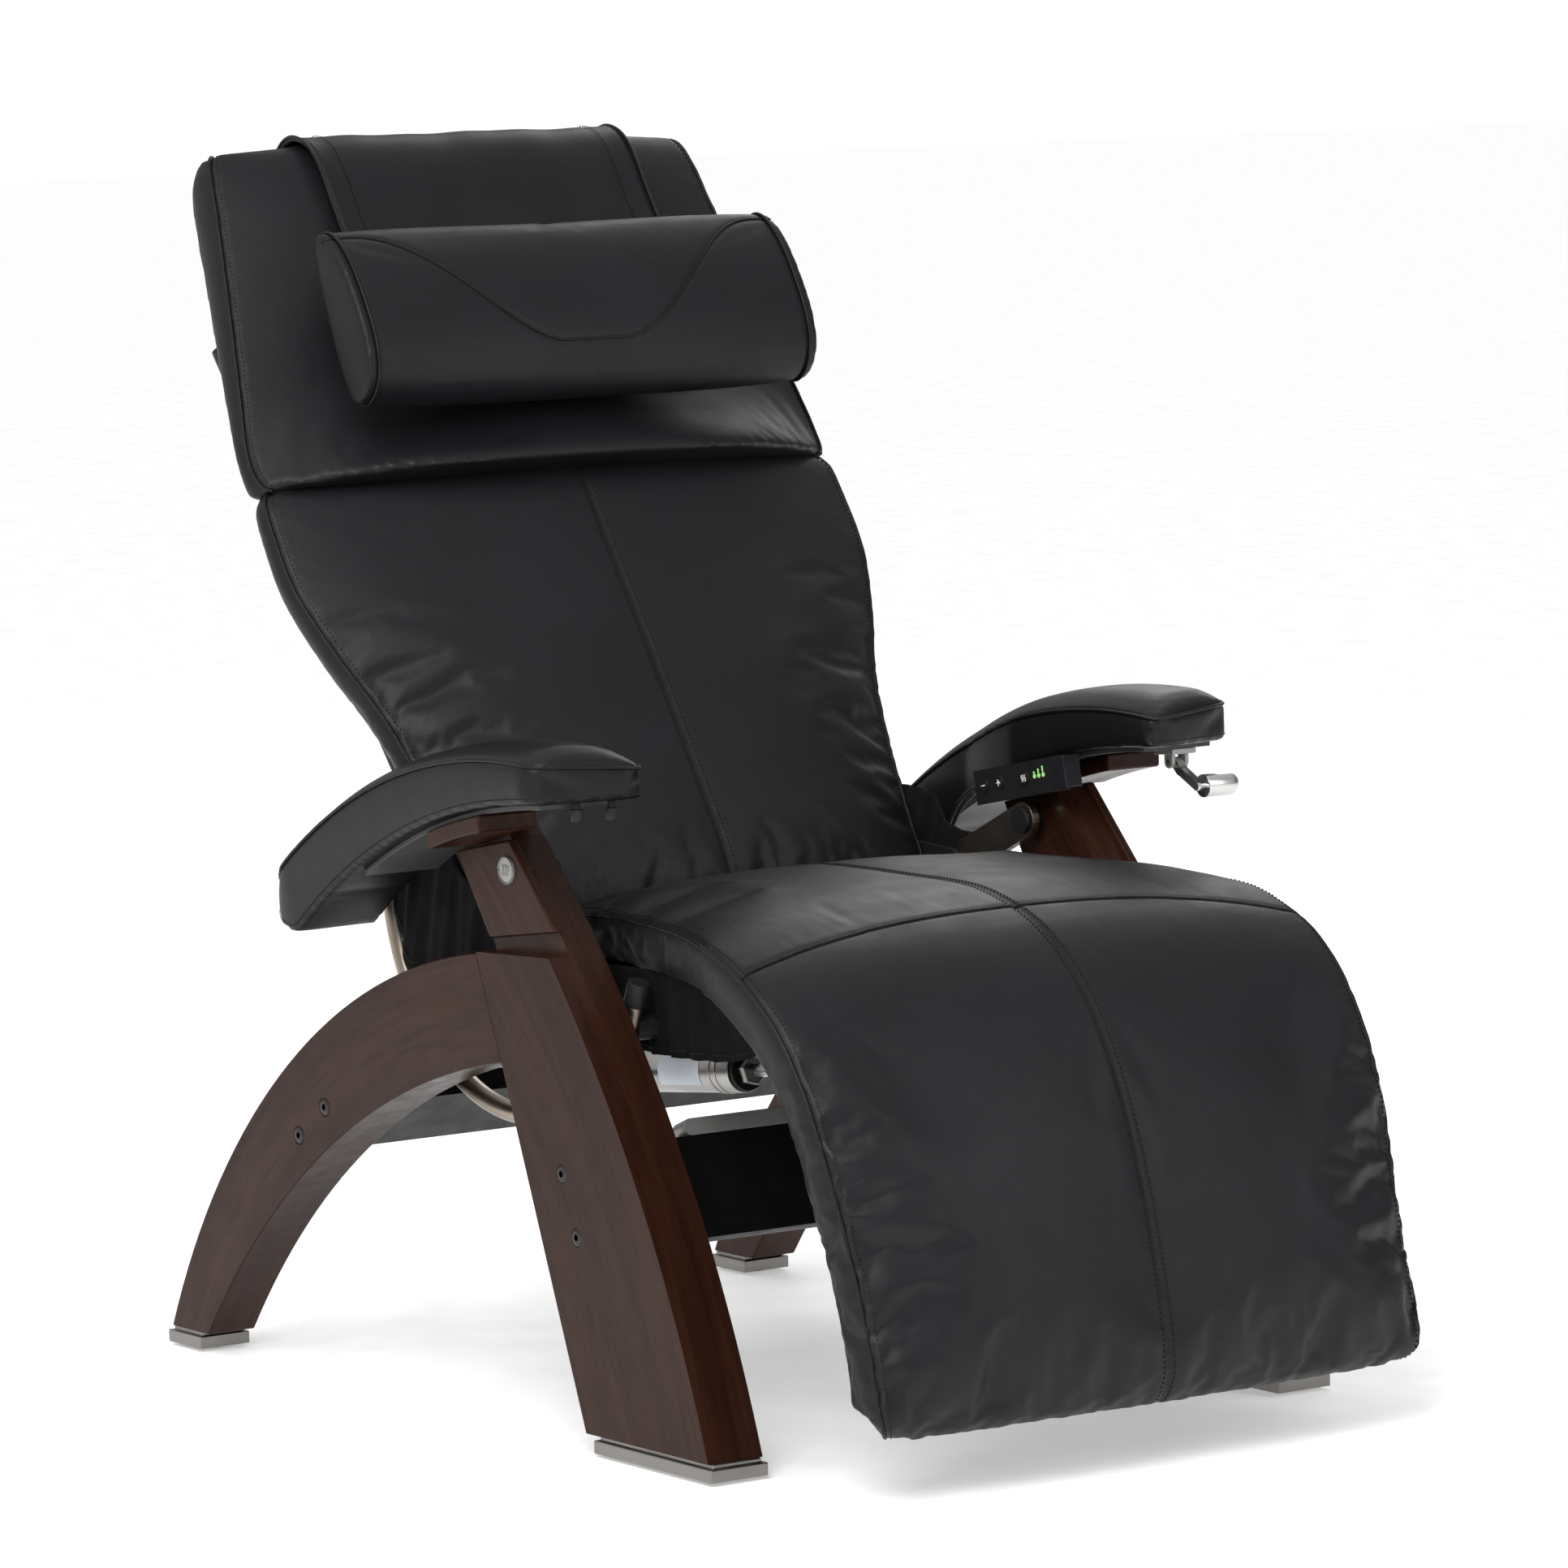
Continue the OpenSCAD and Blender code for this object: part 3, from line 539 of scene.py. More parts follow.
def finish_seams(pad, name, body, sides, side_out, middle, middle_out):
    """Piping along both sides and a double-stitched seam down the middle."""
    for label, line, sign in zip(("right", "left"), sides, (-1, 1)):
        out = [tuple((Vector(o) + Vector((sign * 1.0, 0, 0))).normalized()) for o in side_out]
        laid, _ = laid_on(pad, smooth_line(line, 160), 0.0, resample(out, 160))
        groove(pad, laid, *PIPING_GROOVE)
        laid, _ = laid_on(pad, smooth_line(line, 260), 0.0008, resample(out, 260))
        own(tube(f"{name}_{label}_piping", laid, 0.0019, PIPING), body)
        beside = laid + np.array((-sign * STITCH_INSET, 0, 0))
        on_top, up = laid_on(pad, beside, 0.0, resample(side_out, 260))
        own(stitches(f"{name}_{label}_stitches", on_top, up), body)
    laid, _ = laid_on(pad, smooth_line(middle, 200), 0.0, resample(middle_out, 200))
    groove(pad, laid, *SEAM_GROOVE)
    for label, shift in (("right", -0.0055), ("left", 0.0055)):
        moved = smooth_line(middle, 260) + np.array((shift, 0, 0))
        on_top, up = laid_on(pad, moved, 0.0, resample(middle_out, 260))
        own(stitches(f"{name}_middle_{label}_stitches", on_top, up), body)


# ---------- seat and leg rest ----------

def seat_stations():
    """(y, z, half width, wall, crown) along the side piping, from the hip to the toe."""
    return [
        (0.034, 0.447, 0.246, 0.034, 0.014), (0.008, 0.461, 0.252, 0.044, 0.018),
        (-0.050, 0.472, 0.255, 0.050, 0.020), (-0.130, 0.474, 0.262, 0.050, 0.021),
        (-0.205, 0.474, 0.276, 0.050, 0.021), (-0.270, 0.474, 0.296, 0.050, 0.021),
        (-0.325, 0.468, 0.311, 0.050, 0.022), (-0.385, 0.446, 0.315, 0.052, 0.025),
        (-0.432, 0.412, 0.315, 0.052, 0.026), (-0.466, 0.370, 0.314, 0.052, 0.026),
        (-0.492, 0.321, 0.312, 0.052, 0.027), (-0.515, 0.258, 0.308, 0.052, 0.028),
        (-0.534, 0.195, 0.303, 0.052, 0.027), (-0.549, 0.140, 0.302, 0.052, 0.024),
        (-0.560, 0.095, 0.302, 0.052, 0.018), (-0.561, 0.072, 0.299, 0.046, 0.010),
        (-0.551, 0.058, 0.290, 0.026, 0.004),
    ]


def station_frames(stations, count):
    """Centres, outward directions and the other columns, smoothed along the stations."""
    line = smooth_line(stations, count)
    step = np.gradient(line[:, :2], axis=0)
    step /= np.linalg.norm(step, axis=1, keepdims=True)
    centres = [Vector((0.0, y, z)) for y, z in line[:, :2]]
    outs = [Vector((0.0, dz, -dy)) for dy, dz in step]
    return centres, outs, line[:, 2:]


def seat_gathers(co):
    """Spare leather beside the calf piping, along the toe and in front of the hips."""
    beside = bell(np.abs(co[:, 0]) - 0.285, 0.055) * np.clip((0.40 - co[:, 2]) / 0.12, 0, 1)
    toe = 0.55 * bell(co[:, 2] - 0.085, 0.045)
    hips = 0.5 * bell(np.abs(co[:, 0]) - 0.235, 0.05) * bell(co[:, 1] + 0.12, 0.15)
    return np.clip(beside + toe + hips, 0, 1)


KNEE_Y = -0.385
KNEE_BOW = 0.030
STATION_STEP = 0.0105


def knee_line(centres, outs, sizes):
    """The station of the knee seam and the seam's points, bowed towards the hips in the middle."""
    bend = int(np.argmin([abs(c.y - KNEE_Y) for c in centres]))
    w, _, k = sizes[bend]
    knee = []
    for u in np.linspace(-1, 1, 121):
        bow = KNEE_BOW * (1 - u * u)
        place = bend - bow / STATION_STEP
        i = int(place)
        centre = centres[i].lerp(centres[i + 1], place - i)
        crown = outs[i] * k * (1 - abs(u) ** SEAT_CROWN_POWER)
        knee.append(tuple(centre + crown + Vector((w * u, 0, 0))))
    return bend, knee


def build_seat_pad():
    stations = seat_stations()
    centres, outs, sizes = station_frames(stations, 90)
    rows = [ring(c, o, w - 0.004, t, k, SEAT_CROWN_POWER, 0.006)
            for c, o, (w, t, k) in zip(centres, outs, sizes)]
    pad = pad_mesh("seat_and_leg_cover", rows, LEATHER)
    sides = [[tuple(c + Vector((s * w, 0, 0))) for c, (w, t, k) in zip(centres, sizes)] for s in (-1, 1)]
    low_sides = [[tuple(c - o * t + Vector((s * (w - 0.006), 0, 0)))
                  for c, o, (w, t, k) in zip(centres, outs, sizes)] for s in (-1, 1)]
    crown = [tuple(c + o * k) for c, o, (w, t, k) in zip(centres, outs, sizes)]
    bend, knee = knee_line(centres, outs, sizes)
    ends = [tuple(p) for row in (rows[0], rows[-2], rows[-1]) for p in row]
    held = [p for line in sides + low_sides + [crown, knee, ends] for p in line]
    puff(pad, held, COVER_VOXEL, 0.024, 3.0, seat_gathers)
    outward = [tuple(o) for o in outs]
    finish_seams(pad, "seat_and_leg", "seat", sides, outward, crown, outward)
    knee_out = [tuple(outs[bend - 2])] * len(knee)
    groove(pad, laid_on(pad, knee, 0.0, knee_out)[0], 0.004, 0.0016)
    line, _ = laid_on(pad, knee, 0.0006, knee_out)
    own(tube("seat_and_leg_knee_piping", line, 0.0017, PIPING), "seat")
    own(pad, "seat")
    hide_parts("seat_leg_pad")


# ---------- back and head section ----------

def back_rings(stations, wall_inset, flat, droops=((0, 0), (1, 0))):
    """Rings across the back from (s, n of the piping, half width, wall, crown) stations.

    droops are (s, how far the middle hangs down) pairs. The lines along both pipings, both lower edges
    and the middle come with the rings.
    """
    rows = []
    middle = []
    sides = [[], []]
    low_sides = [[], []]
    for s, n, w, t, k in smooth_line(stations, 60):
        centre = back_point(0, s, n)
        hang = np.interp(s, [row[0] for row in droops], [row[1] for row in droops])
        rows.append(ring(centre, BACK_N, w - 0.003, t, k, flat, wall_inset, BACK_S * -hang))
        middle.append(tuple(centre + BACK_N * k))
        for index, sign in enumerate((-1, 1)):
            sides[index].append(tuple(centre + Vector((sign * w, 0, 0))))
            low_sides[index].append(tuple(centre - BACK_N * t + Vector((sign * (w - wall_inset), 0, 0))))
    return rows, sides, low_sides, middle


def back_gathers(co):
    """Spare leather at the lower sides of the back, where it narrows to the waist."""
    up = (co - np.array(BACK_ORIGIN)) @ np.array(BACK_S)
    waist = bell(np.abs(co[:, 0]) - 0.25, 0.06) * bell(up - 0.17, 0.12)
    foot = 0.4 * bell(up - 0.0, 0.05)
    return np.clip(0.7 * waist + foot, 0, 1)


def build_back_pad():
    stations = [
        (-0.028, -0.058, 0.238, 0.030, 0.020), (-0.010, -0.060, 0.250, 0.034, 0.036),
        (0.030, -0.060, 0.257, 0.034, 0.046), (0.090, -0.060, 0.262, 0.034, 0.048),
        (0.165, -0.061, 0.272, 0.034, 0.049), (0.229, -0.062, 0.286, 0.034, 0.050),
        (0.301, -0.063, 0.312, 0.034, 0.050), (0.370, -0.064, 0.330, 0.032, 0.049),
        (0.430, -0.064, 0.331, 0.031, 0.048), (0.463, -0.064, 0.328, 0.030, 0.044),
        (0.478, -0.066, 0.318, 0.026, 0.026),
    ]
    rows, sides, low_sides, middle = back_rings(stations, 0.004, 2.4)
    pad = pad_mesh("back_cover", rows, LEATHER)
    ends = [tuple(p) for row in (rows[0], rows[-1]) for p in row]
    held = [p for line in sides + low_sides + [middle, ends] for p in line]
    puff(pad, held, COVER_VOXEL, 0.022, 2.8, back_gathers)
    out = [tuple(BACK_N)] * len(rows)
    finish_seams(pad, "back", "back", sides, out, middle, out)
    own(pad, "back")
    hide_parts("back_pad")


def build_head_pad():
    stations = [
        (0.474, -0.060, 0.318, 0.022, 0.066), (0.482, -0.064, 0.325, 0.028, 0.084),
        (0.502, -0.067, 0.327, 0.024, 0.082), (0.530, -0.065, 0.325, 0.026, 0.062),
        (0.570, -0.060, 0.318, 0.032, 0.044), (0.640, -0.052, 0.306, 0.040, 0.042),
        (0.720, -0.043, 0.293, 0.046, 0.040), (0.780, -0.036, 0.284, 0.050, 0.034),
        (0.815, -0.034, 0.278, 0.046, 0.026), (0.833, -0.036, 0.270, 0.034, 0.014),
    ]
    droops = ((0.474, 0.024), (0.482, 0.036), (0.502, 0.036), (0.530, 0.022), (0.580, 0.006), (0.640, 0.0))
    rows, sides, low_sides, _ = back_rings(stations, 0.0, 3.2, droops)
    pad = pad_mesh("head_cover", rows, LEATHER)
    ends = [tuple(p) for row in (rows[0], rows[-1]) for p in row]
    held = [p for line in sides + low_sides + [ends] for p in line]
    puff(pad, held, COVER_VOXEL, 0.010, 1.6)
    out = [tuple(BACK_N)] * len(rows)
    for label, line, sign in zip(("right", "left"), sides, (-1, 1)):
        slant = [tuple((BACK_N + Vector((sign * 1.0, 0, 0))).normalized())] * len(line)
        laid, _ = laid_on(pad, smooth_line(line, 260), 0.0006, resample(slant, 260))
        groove(pad, laid, *PIPING_GROOVE)
        own(tube(f"head_{label}_piping", laid, 0.0019, PIPING), "back")
        beside = laid + np.array((-sign * STITCH_INSET, 0, 0))
        on_top, up = laid_on(pad, beside, 0.0, resample(out, 260))
        own(stitches(f"head_{label}_stitches", on_top, up), "back")
    own(pad, "back")
    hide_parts("head_pad")


# ---------- head pillow and its flap ----------

PILLOW_W = 0.520


def build_pillow():
    """Bolster with an oval section that leans on the head section."""
    centre_s, centre_n = 0.592, 0.048
    reach_s, reach_front, reach_rear = 0.090, 0.043, 0.044
    lean = math.radians(9)
    rows = []
    end_lines = {}
    for x in np.linspace(-PILLOW_W / 2 + 0.002, PILLOW_W / 2 - 0.002, 46):
        share = abs(x) / (PILLOW_W / 2)
        grow = 1.0 - 0.04 * share ** 6
        rear = reach_rear * (1.0 - 0.72 * share ** 4)
        row = []
        for a in np.linspace(0, 2 * math.pi, 48, endpoint=False):
            s = math.copysign(abs(math.cos(a)) ** 0.80, math.cos(a)) * reach_s * grow
            deep = reach_front * grow if math.sin(a) > 0 else rear
            n = math.copysign(abs(math.sin(a)) ** 0.95, math.sin(a)) * deep * (1.0 - 0.22 * s / reach_s)
            turned_s = s * math.cos(lean) - n * math.sin(lean)
            turned_n = s * math.sin(lean) + n * math.cos(lean)
            row.append(back_point(x, centre_s + turned_s, centre_n + turned_n))
        rows.append(row)
    for label, index in (("right", 1), ("left", -2)):
        end_lines[label] = [tuple(p) for p in rows[index]] + [tuple(rows[index][0])]
    pillow = pad_mesh("head_pillow_cover", rows, LEATHER)
    held = [p for line in end_lines.values() for p in line]
    puff(pillow, held, SMALL_VOXEL, 0.008, 1.8)
    for label, line in end_lines.items():
        ring_line = smooth_line(line, 180)
        nearest = nearest_on(pillow, ring_line, 0.0006)
        groove(pillow, nearest, 0.004, 0.001)
        own(tube(f"pillow_{label}_end_piping", nearest, 0.0017, PIPING), "pillow")
    seam = []
    for u in np.linspace(-1, 1, 161):
        dip = 0.5 + 0.5 * math.cos(math.pi * min(1.0, max(0.0, (abs(u) - 0.12) / 0.78)))
        seam.append(tuple(back_point(0.257 * u, 0.664 - 0.126 * dip, 0.08)))
    out = [tuple(BACK_N)] * len(seam)
    laid, _ = laid_on(pillow, seam, 0.0, out)
    groove(pillow, laid, 0.0035, 0.0012)
    laid, _ = laid_on(pillow, seam, 0.0004, out)
    own(tube("pillow_front_seam", laid, 0.0013, PIPING), "pillow")
    own(pillow, "pillow")
    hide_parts("head_pillow")


def bend_with_pillow(piece):
    """Bakes the piece's transform into its points; the piece is not attached to the head section or the
    pillow.
    """
    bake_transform(piece)


def build_flap():
    """Leather flap from the pillow over the top of the head section, with hemmed sides."""
    half = 0.182
    profile = [(0.674, 0.012), (0.700, 0.004), (0.740, 0.003), (0.790, 0.004), (0.820, -0.004),
               (0.840, -0.024), (0.843, -0.048), (0.830, -0.074), (0.806, -0.094)]
    line = smooth_line(profile, 46)
    thick = 0.003
    step = np.gradient(line, axis=0)
    step /= np.linalg.norm(step, axis=1, keepdims=True)
    rows = []
    for (s, n), (ds, dn) in zip(line, step):
        row = []
        for u in np.linspace(-1, 1, 41):
            ripple = 0.0006 * math.sin(7 * u + 30 * s) + 0.0004 * math.sin(17 * u - 22 * s)
            edge = 0.0012 * max(0.0, abs(u) - 0.94) / 0.06
            rise = ripple + edge
            row.append(back_point(half * u, s - dn * rise, n + ds * rise))
        for u in np.linspace(1, -1, 41):
            row.append(back_point(half * u, s + dn * thick, n - ds * thick))
        rows.append(row)
    flap = pad_mesh("head_flap_cover", rows, LEATHER)
    bend_with_pillow(flap)
    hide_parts("head_flap")
    for label, sign in (("right", -1), ("left", 1)):
        edge = [tuple(row[0 if sign < 0 else 40]) for row in rows]
        bend_with_pillow(tube(f"flap_{label}_hem", edge, 0.0016, PIPING))
        inner = [tuple(row[3 if sign < 0 else 37] + Vector((0, 0, 0.0006))) for row in rows]
        normals = np.array([tuple(BACK_N * ds - BACK_S * dn) for ds, dn in step])
        bend_with_pillow(stitches(f"flap_{label}_stitches", inner, normals))


# ---------- arm pads ----------

# Arcs of the piping and of the underside: centre y, centre z and radius
PIPE_ARC = (-0.134, -0.040, 0.661)
UNDER_ARC = (-0.200, -0.108, 0.695)
ARM_IN = 0.283
ARM_W = 0.109
ARM_FRONT_IN, ARM_FRONT_OUT = -0.206, -0.180
ARM_REAR = 0.287
ARM_REAR_LOW = 0.438
ARM_ROUND_FROM = 0.245
ARM_ROUND = 0.034
ARM_ACROSS = 25


def on_arc(arc, y):
    return arc[1] + math.sqrt(arc[2] ** 2 - (y - arc[0]) ** 2)


def quarter_round(share):
    """Falls from 1 at share 0 to 0 at share 1, along a quarter of a circle."""
    return math.sqrt(max(0.0, 1.0 - max(0.0, share) ** 2))


def arm_plan_x(y):
    """Inner and outer X of a left arm pad at a given Y."""
    inner = ARM_IN + 0.020 * min(1.0, max(0.0, (y - 0.02) / 0.10))
    outer = ARM_IN + ARM_W
    if y > ARM_ROUND_FROM:
        pull = ARM_ROUND * ((y - ARM_ROUND_FROM) / 0.048) ** 2
        outer -= pull
        inner += pull
    return inner, outer


def arm_span(t):
    """Points (x, y, piping z, underside z, crown) across a left arm pad at a share t of its length."""
    spans = []
    end = min(1.0, t / 0.05, (1 - t) / 0.06)
    for u in np.linspace(-1, 1, ARM_ACROSS):
        corner = 0.016 * (1 - quarter_round((abs(u) - 0.72) / 0.28))
        front = ARM_FRONT_IN + (ARM_FRONT_OUT - ARM_FRONT_IN) * (u + 1) / 2
        y = (front + corner) + (ARM_REAR - front - corner) * t
        inner, outer = arm_plan_x(y)
        x = (inner + outer) / 2 + u * (outer - inner) / 2
        low_z = on_arc(UNDER_ARC, y)
        if y > 0.225:
            low_z = max(low_z, ARM_REAR_LOW + 0.02 * ((y - 0.225) / 0.062) ** 2)
        pipe_z = max(on_arc(PIPE_ARC, y) + 0.0025 * u, low_z + 0.004)
        nose = 1.0 - (ARM_REAR - y) / 0.024
        low_z += (pipe_z - low_z) * 0.55 * (1.0 - quarter_round(nose))
        spans.append((x, y, pipe_z, low_z, 0.017 * (1 - abs(u) ** 2.6) * math.sqrt(max(0.0, end))))
    return spans


def arm_wall(span, swell, shares):
    """Points down one wall of an arm pad at shares of its height, swollen in the middle."""
    x, y, pipe_z, low_z, _ = span
    return [Vector((x + swell * math.sin(math.pi * v), y, pipe_z + (low_z - pipe_z) * v)) for v in shares]


def build_arm_pad(sign, label):
    """Curved armrest: crowned top, a tall side band with piping, slanted front and rounded rear."""
    ends = [[0.0, 0.008, 0.025, 0.05], [0.93, 0.96, 0.985, 1.0]]
    spans = [arm_span(t) for t in np.concatenate([ends[0], np.linspace(0.08, 0.90, 40), ends[1]])]
    rows = []
    for span in spans:
        row = [Vector((x, y, pipe_z + rise)) for x, y, pipe_z, _, rise in span]
        row += arm_wall(span[-1], 0.0015, np.linspace(0, 1, 7)[1:])
        row += [Vector((x, y, low_z)) for x, y, _, low_z, _ in span[::-1][1:-1]]
        row += arm_wall(span[0], -0.0015, np.linspace(1, 0, 7)[:-1])
        rows.append(row)
    inner_pipe, outer_pipe = ([span[side][:3] for span in spans] for side in (0, -1))
    inner_low, outer_low = ([(*span[side][:2], span[side][3]) for span in spans] for side in (0, -1))
    front_top, rear_top = ([tuple(p) for p in row[:ARM_ACROSS]] for row in (rows[0], rows[-1]))
    front_low = [tuple(p) for p in rows[0][30:55]]
    loop = inner_pipe[::-1] + front_top[1:-1] + outer_pipe + rear_top[::-1][1:-1]
    low_loop = inner_low[::-1] + front_low[::-1][1:-1] + outer_low
    mirror = Matrix.Diagonal((sign, 1, 1, 1))
    if sign < 0:
        rows = [[mirror @ p for p in row][::-1] for row in rows]
        loop = [(-x, y, z) for x, y, z in loop]
        low_loop = [(-x, y, z) for x, y, z in low_loop]
    pad = pad_mesh(f"{label}_arm_cover", rows, ARM_LEATHER)
    puff(pad, loop + low_loop, SMALL_VOXEL, 0.004, 1.2)
    closed = smooth_line(loop + loop[:1], 420)
    line = nearest_on(pad, closed, 0.0004)
    groove(pad, line, 0.0035, 0.0008)
    own(tube(f"{label}_arm_piping", line, 0.0016, PIPING), "base")
    low_line = nearest_on(pad, smooth_line(low_loop, 300) + np.array((0, 0, 0.006)), 0.0003)
    outward = np.tile((sign, 0.0, 0.0), (len(low_line), 1))
    own(stitches(f"{label}_arm_low_stitches", low_line, outward), "base")
    own(pad, "base")
    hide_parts(f"{label}_arm_pad")


# ---------- black cloths at the sides ----------

CLOTH_THICK = 0.0012
CLOTH_COLUMNS = 90


def cloth_panel(name, top, bottom, normal, folds, depth):
    """Thin pleated cloth between a top and a bottom line; its folds deepen towards the bottom."""
    top, bottom = (smooth_line(line, CLOTH_COLUMNS) for line in (top, bottom))
    normal = np.array(normal, float)
    thick = normal * CLOTH_THICK
    rows = []
    for v in np.linspace(0, 1, 26):
        run = np.linspace(0, folds * 2 * math.pi, CLOTH_COLUMNS)
        small_run = np.linspace(0.4, folds * 4.6 * math.pi, CLOTH_COLUMNS)
        wave = depth * (0.35 + 0.65 * v) * np.sin(run + 1.1 * v)
        wave += 0.35 * depth * np.sin(small_run - 2.0 * v)
        front = top * (1 - v) + bottom * v + wave[:, None] * normal
        rows.append([Vector(q) for q in front] + [Vector(q) for q in (front - thick)[::-1]])
    panel = pad_mesh(name, rows, CLOTH)
    own(panel, "seat")
    hem = [tuple(q) for q in rows[-3][:CLOTH_COLUMNS]]
    own(tube(f"{name}_hem", hem, 0.0009, THREAD, 6), "seat")


def side_line(x, places):
    return [(x, y, z) for y, z in places]


def build_side_cloths():
    """Skirts over the hinges, inside the bow tubes, and curtains along the seat's underside."""
    hoop_y, hoop_z, hoop_r = 0.038, 0.492, 0.200
    skirt_top = [(0.040, 0.498), (0.080, 0.488), (0.120, 0.494), (0.152, 0.522), (0.233, 0.526)]
    skirt_low = [(y, max(0.392, hoop_z - math.sqrt(hoop_r ** 2 - (y - hoop_y) ** 2)))
                 for y in np.linspace(skirt_top[0][0], skirt_top[-1][0], 12)]
    curtain_top = [(0.030, 0.418), (-0.100, 0.426), (-0.250, 0.426), (-0.345, 0.414)]
    curtain_low = [(0.020, 0.372), (-0.100, 0.350), (-0.250, 0.352), (-0.335, 0.372)]
    for sign, word in SIDES:
        top, low = (side_line(sign * 0.2805, places) for places in (skirt_top, skirt_low))
        cloth_panel(f"{word}_hinge_skirt", top, low, (sign, 0, 0), 4, 0.0022)
        top, low = side_line(sign * 0.2535, curtain_top), side_line(sign * 0.2420, curtain_low)
        cloth_panel(f"{word}_seat_curtain", top, low, (sign, 0, 0), 11, 0.0030)


# ---------- small details ----------

def lathe(name, profile, centre, axis, material, sides=32):
    """Turned piece from (distance along the axis, radius) pairs; ends at radius 0 are closed."""
    axis = Vector(axis).normalized()
    side = axis.orthogonal().normalized()
    other = axis.cross(side)
    points = []
    for along, radius in profile:
        for k in range(sides):
            turn = 2 * math.pi * k / sides
            spoke = side * math.cos(turn) + other * math.sin(turn)
            points.append(Vector(centre) + axis * along + spoke * max(radius, 0.00001))
    piece = mesh_piece(name, points, skin_faces(len(profile), sides), material)
    mark_sharp(piece)
    return piece


def mark_sharp(piece, angle=40):
    edge = piece.modifiers.new("sharp edges", "EDGE_SPLIT")
    edge.split_angle = math.radians(angle)


def joined(name, pieces):
    """One object from several that share a material."""
    with bpy.context.temp_override(active_object=pieces[0], selected_editable_objects=pieces):
        bpy.ops.object.join()
    pieces[0].name = name
    return pieces[0]


def build_bolt_faces():
    """Domed heads with a hexagonal socket on the eight frame bolts."""
    face_x = 0.3446
    spots = [(-0.141, 0.250), (-0.163, 0.195), (0.264, 0.266), (0.312, 0.234)]
    dome = [(-0.0006, 0.0080), (0.0002, 0.0079), (0.0009, 0.0070), (0.0013, 0.0050), (0.0013, 0.0034)]
    socket = [(0.0013, 0.0034), (-0.0004, 0.0031), (-0.0005, 0.0)]
    for sign, word in SIDES:
        rings = []
        hexes = []
        for y, z in spots:
            centre = (sign * face_x, y, z)
            rings.append(lathe("ring", dome, centre, (sign, 0, 0), BOLT_FACE))
            hexes.append(lathe("socket", socket, centre, (sign, 0, 0), BLACK_STEEL, 6))
        own(joined(f"{word}_bolt_heads", rings), "base")
        own(joined(f"{word}_bolt_sockets", hexes), "base")


PANEL_MID = Vector((0.262, -0.021, 0.547))
PANEL_L = 0.147
PANEL_A = math.radians(10.6)
MINUS_U, PLUS_U, HEAT_U = 0.015, 0.040, 0.081
BUTTON_V = 0.001


def panel_point(u, v, out=0.0):
    """A point on the panel's face: u runs forward from its rear end and v up from its middle."""
    along = PANEL_L / 2 - u
    return PANEL_MID + Vector((-out, along * math.cos(PANEL_A) + v * math.sin(PANEL_A),
                               v * math.cos(PANEL_A) - along * math.sin(PANEL_A)))


def sign_stroke(name, places, width):
    """A flat printed stroke on a button's face, along a line of (u, v) places on the panel."""
    line = [np.array(panel_point(u, BUTTON_V + v, 0.0016)) for u, v in places]
    return tube(name, line, width / 2, SIGN_WHITE, 6)


def build_panel_signs():
    """Minus, plus and a heat sign on the buttons, and a scale above each light."""
    arm = 0.0031
    width = 0.0013
    minus = sign_stroke("minus_sign", [(MINUS_U - arm, 0), (MINUS_U + arm, 0)], width)
    own(minus, "minus_button")
    cross = [sign_stroke("stroke", [(PLUS_U - arm, 0), (PLUS_U + arm, 0)], width),
             sign_stroke("stroke", [(PLUS_U, -arm), (PLUS_U, arm)], width)]
    own(joined("plus_sign", cross), "plus_button")
    waves = []
    for shift in (-0.0026, 0.0, 0.0026):
        line = [(HEAT_U + shift + 0.0007 * math.sin(t * 2 * math.pi), 0.0066 * t - 0.0034)
                for t in np.linspace(0, 1, 13)]
        waves.append(sign_stroke("stroke", line, 0.0009))
    own(joined("heat_sign", waves), "heat_button")
    rim_r = 0.0071
    rims = []
    for u in (MINUS_U, PLUS_U, HEAT_U):
        rim = [np.array(panel_point(u + rim_r * math.cos(t), BUTTON_V + rim_r * math.sin(t), 0.0001))
               for t in np.linspace(0, 2 * math.pi, 41)]
        rims.append(tube("rim", rim, 0.0003, GLOSS_PLASTIC, 6))
    own(joined("button_rims", rims), "base")
    scales = []
    for u, height in ((0.097, 0.0045), (0.104, 0.0065), (0.111, 0.0085)):
        line = [np.array(panel_point(u, BUTTON_V + v, 0.0003)) for v in (0.0015, height)]
        scales.append(tube("scale", line, 0.0007, LIGHT_GREEN, 6))
    own(joined("light_scales", scales), "base")


def build_badge_rims():
    """A raised rim and a plain embossed wave on each round badge."""
    low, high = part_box("side_badges")
    y, z = (low[1] + high[1]) / 2, (low[2] + high[2]) / 2
    rim_r = 0.0120
    for sign, word in SIDES:
        x = sign * high[0]
        rim = [(x, y + rim_r * math.cos(t), z + rim_r * math.sin(t)) for t in np.linspace(0, 2 * math.pi, 49)]
        lines = [tube("line", rim, 0.0009, DARK_METAL, 6)]
        for shift in (-0.004, 0.0, 0.004):
            wave = [(x, y + shift + 0.0010 * math.sin(7 * t), z - 0.005 + 0.010 * t)
                    for t in np.linspace(0, 1, 15)]
            lines.append(tube("line", wave, 0.0006, DARK_METAL, 6))
        own(joined(f"{word}_badge_relief", lines), "base")


CYL_REAR = Vector((-0.060, 0.215, 0.278))
CYL_AXIS = (Vector((-0.060, -0.100, 0.310)) - CYL_REAR).normalized()
CYL_R = 0.021


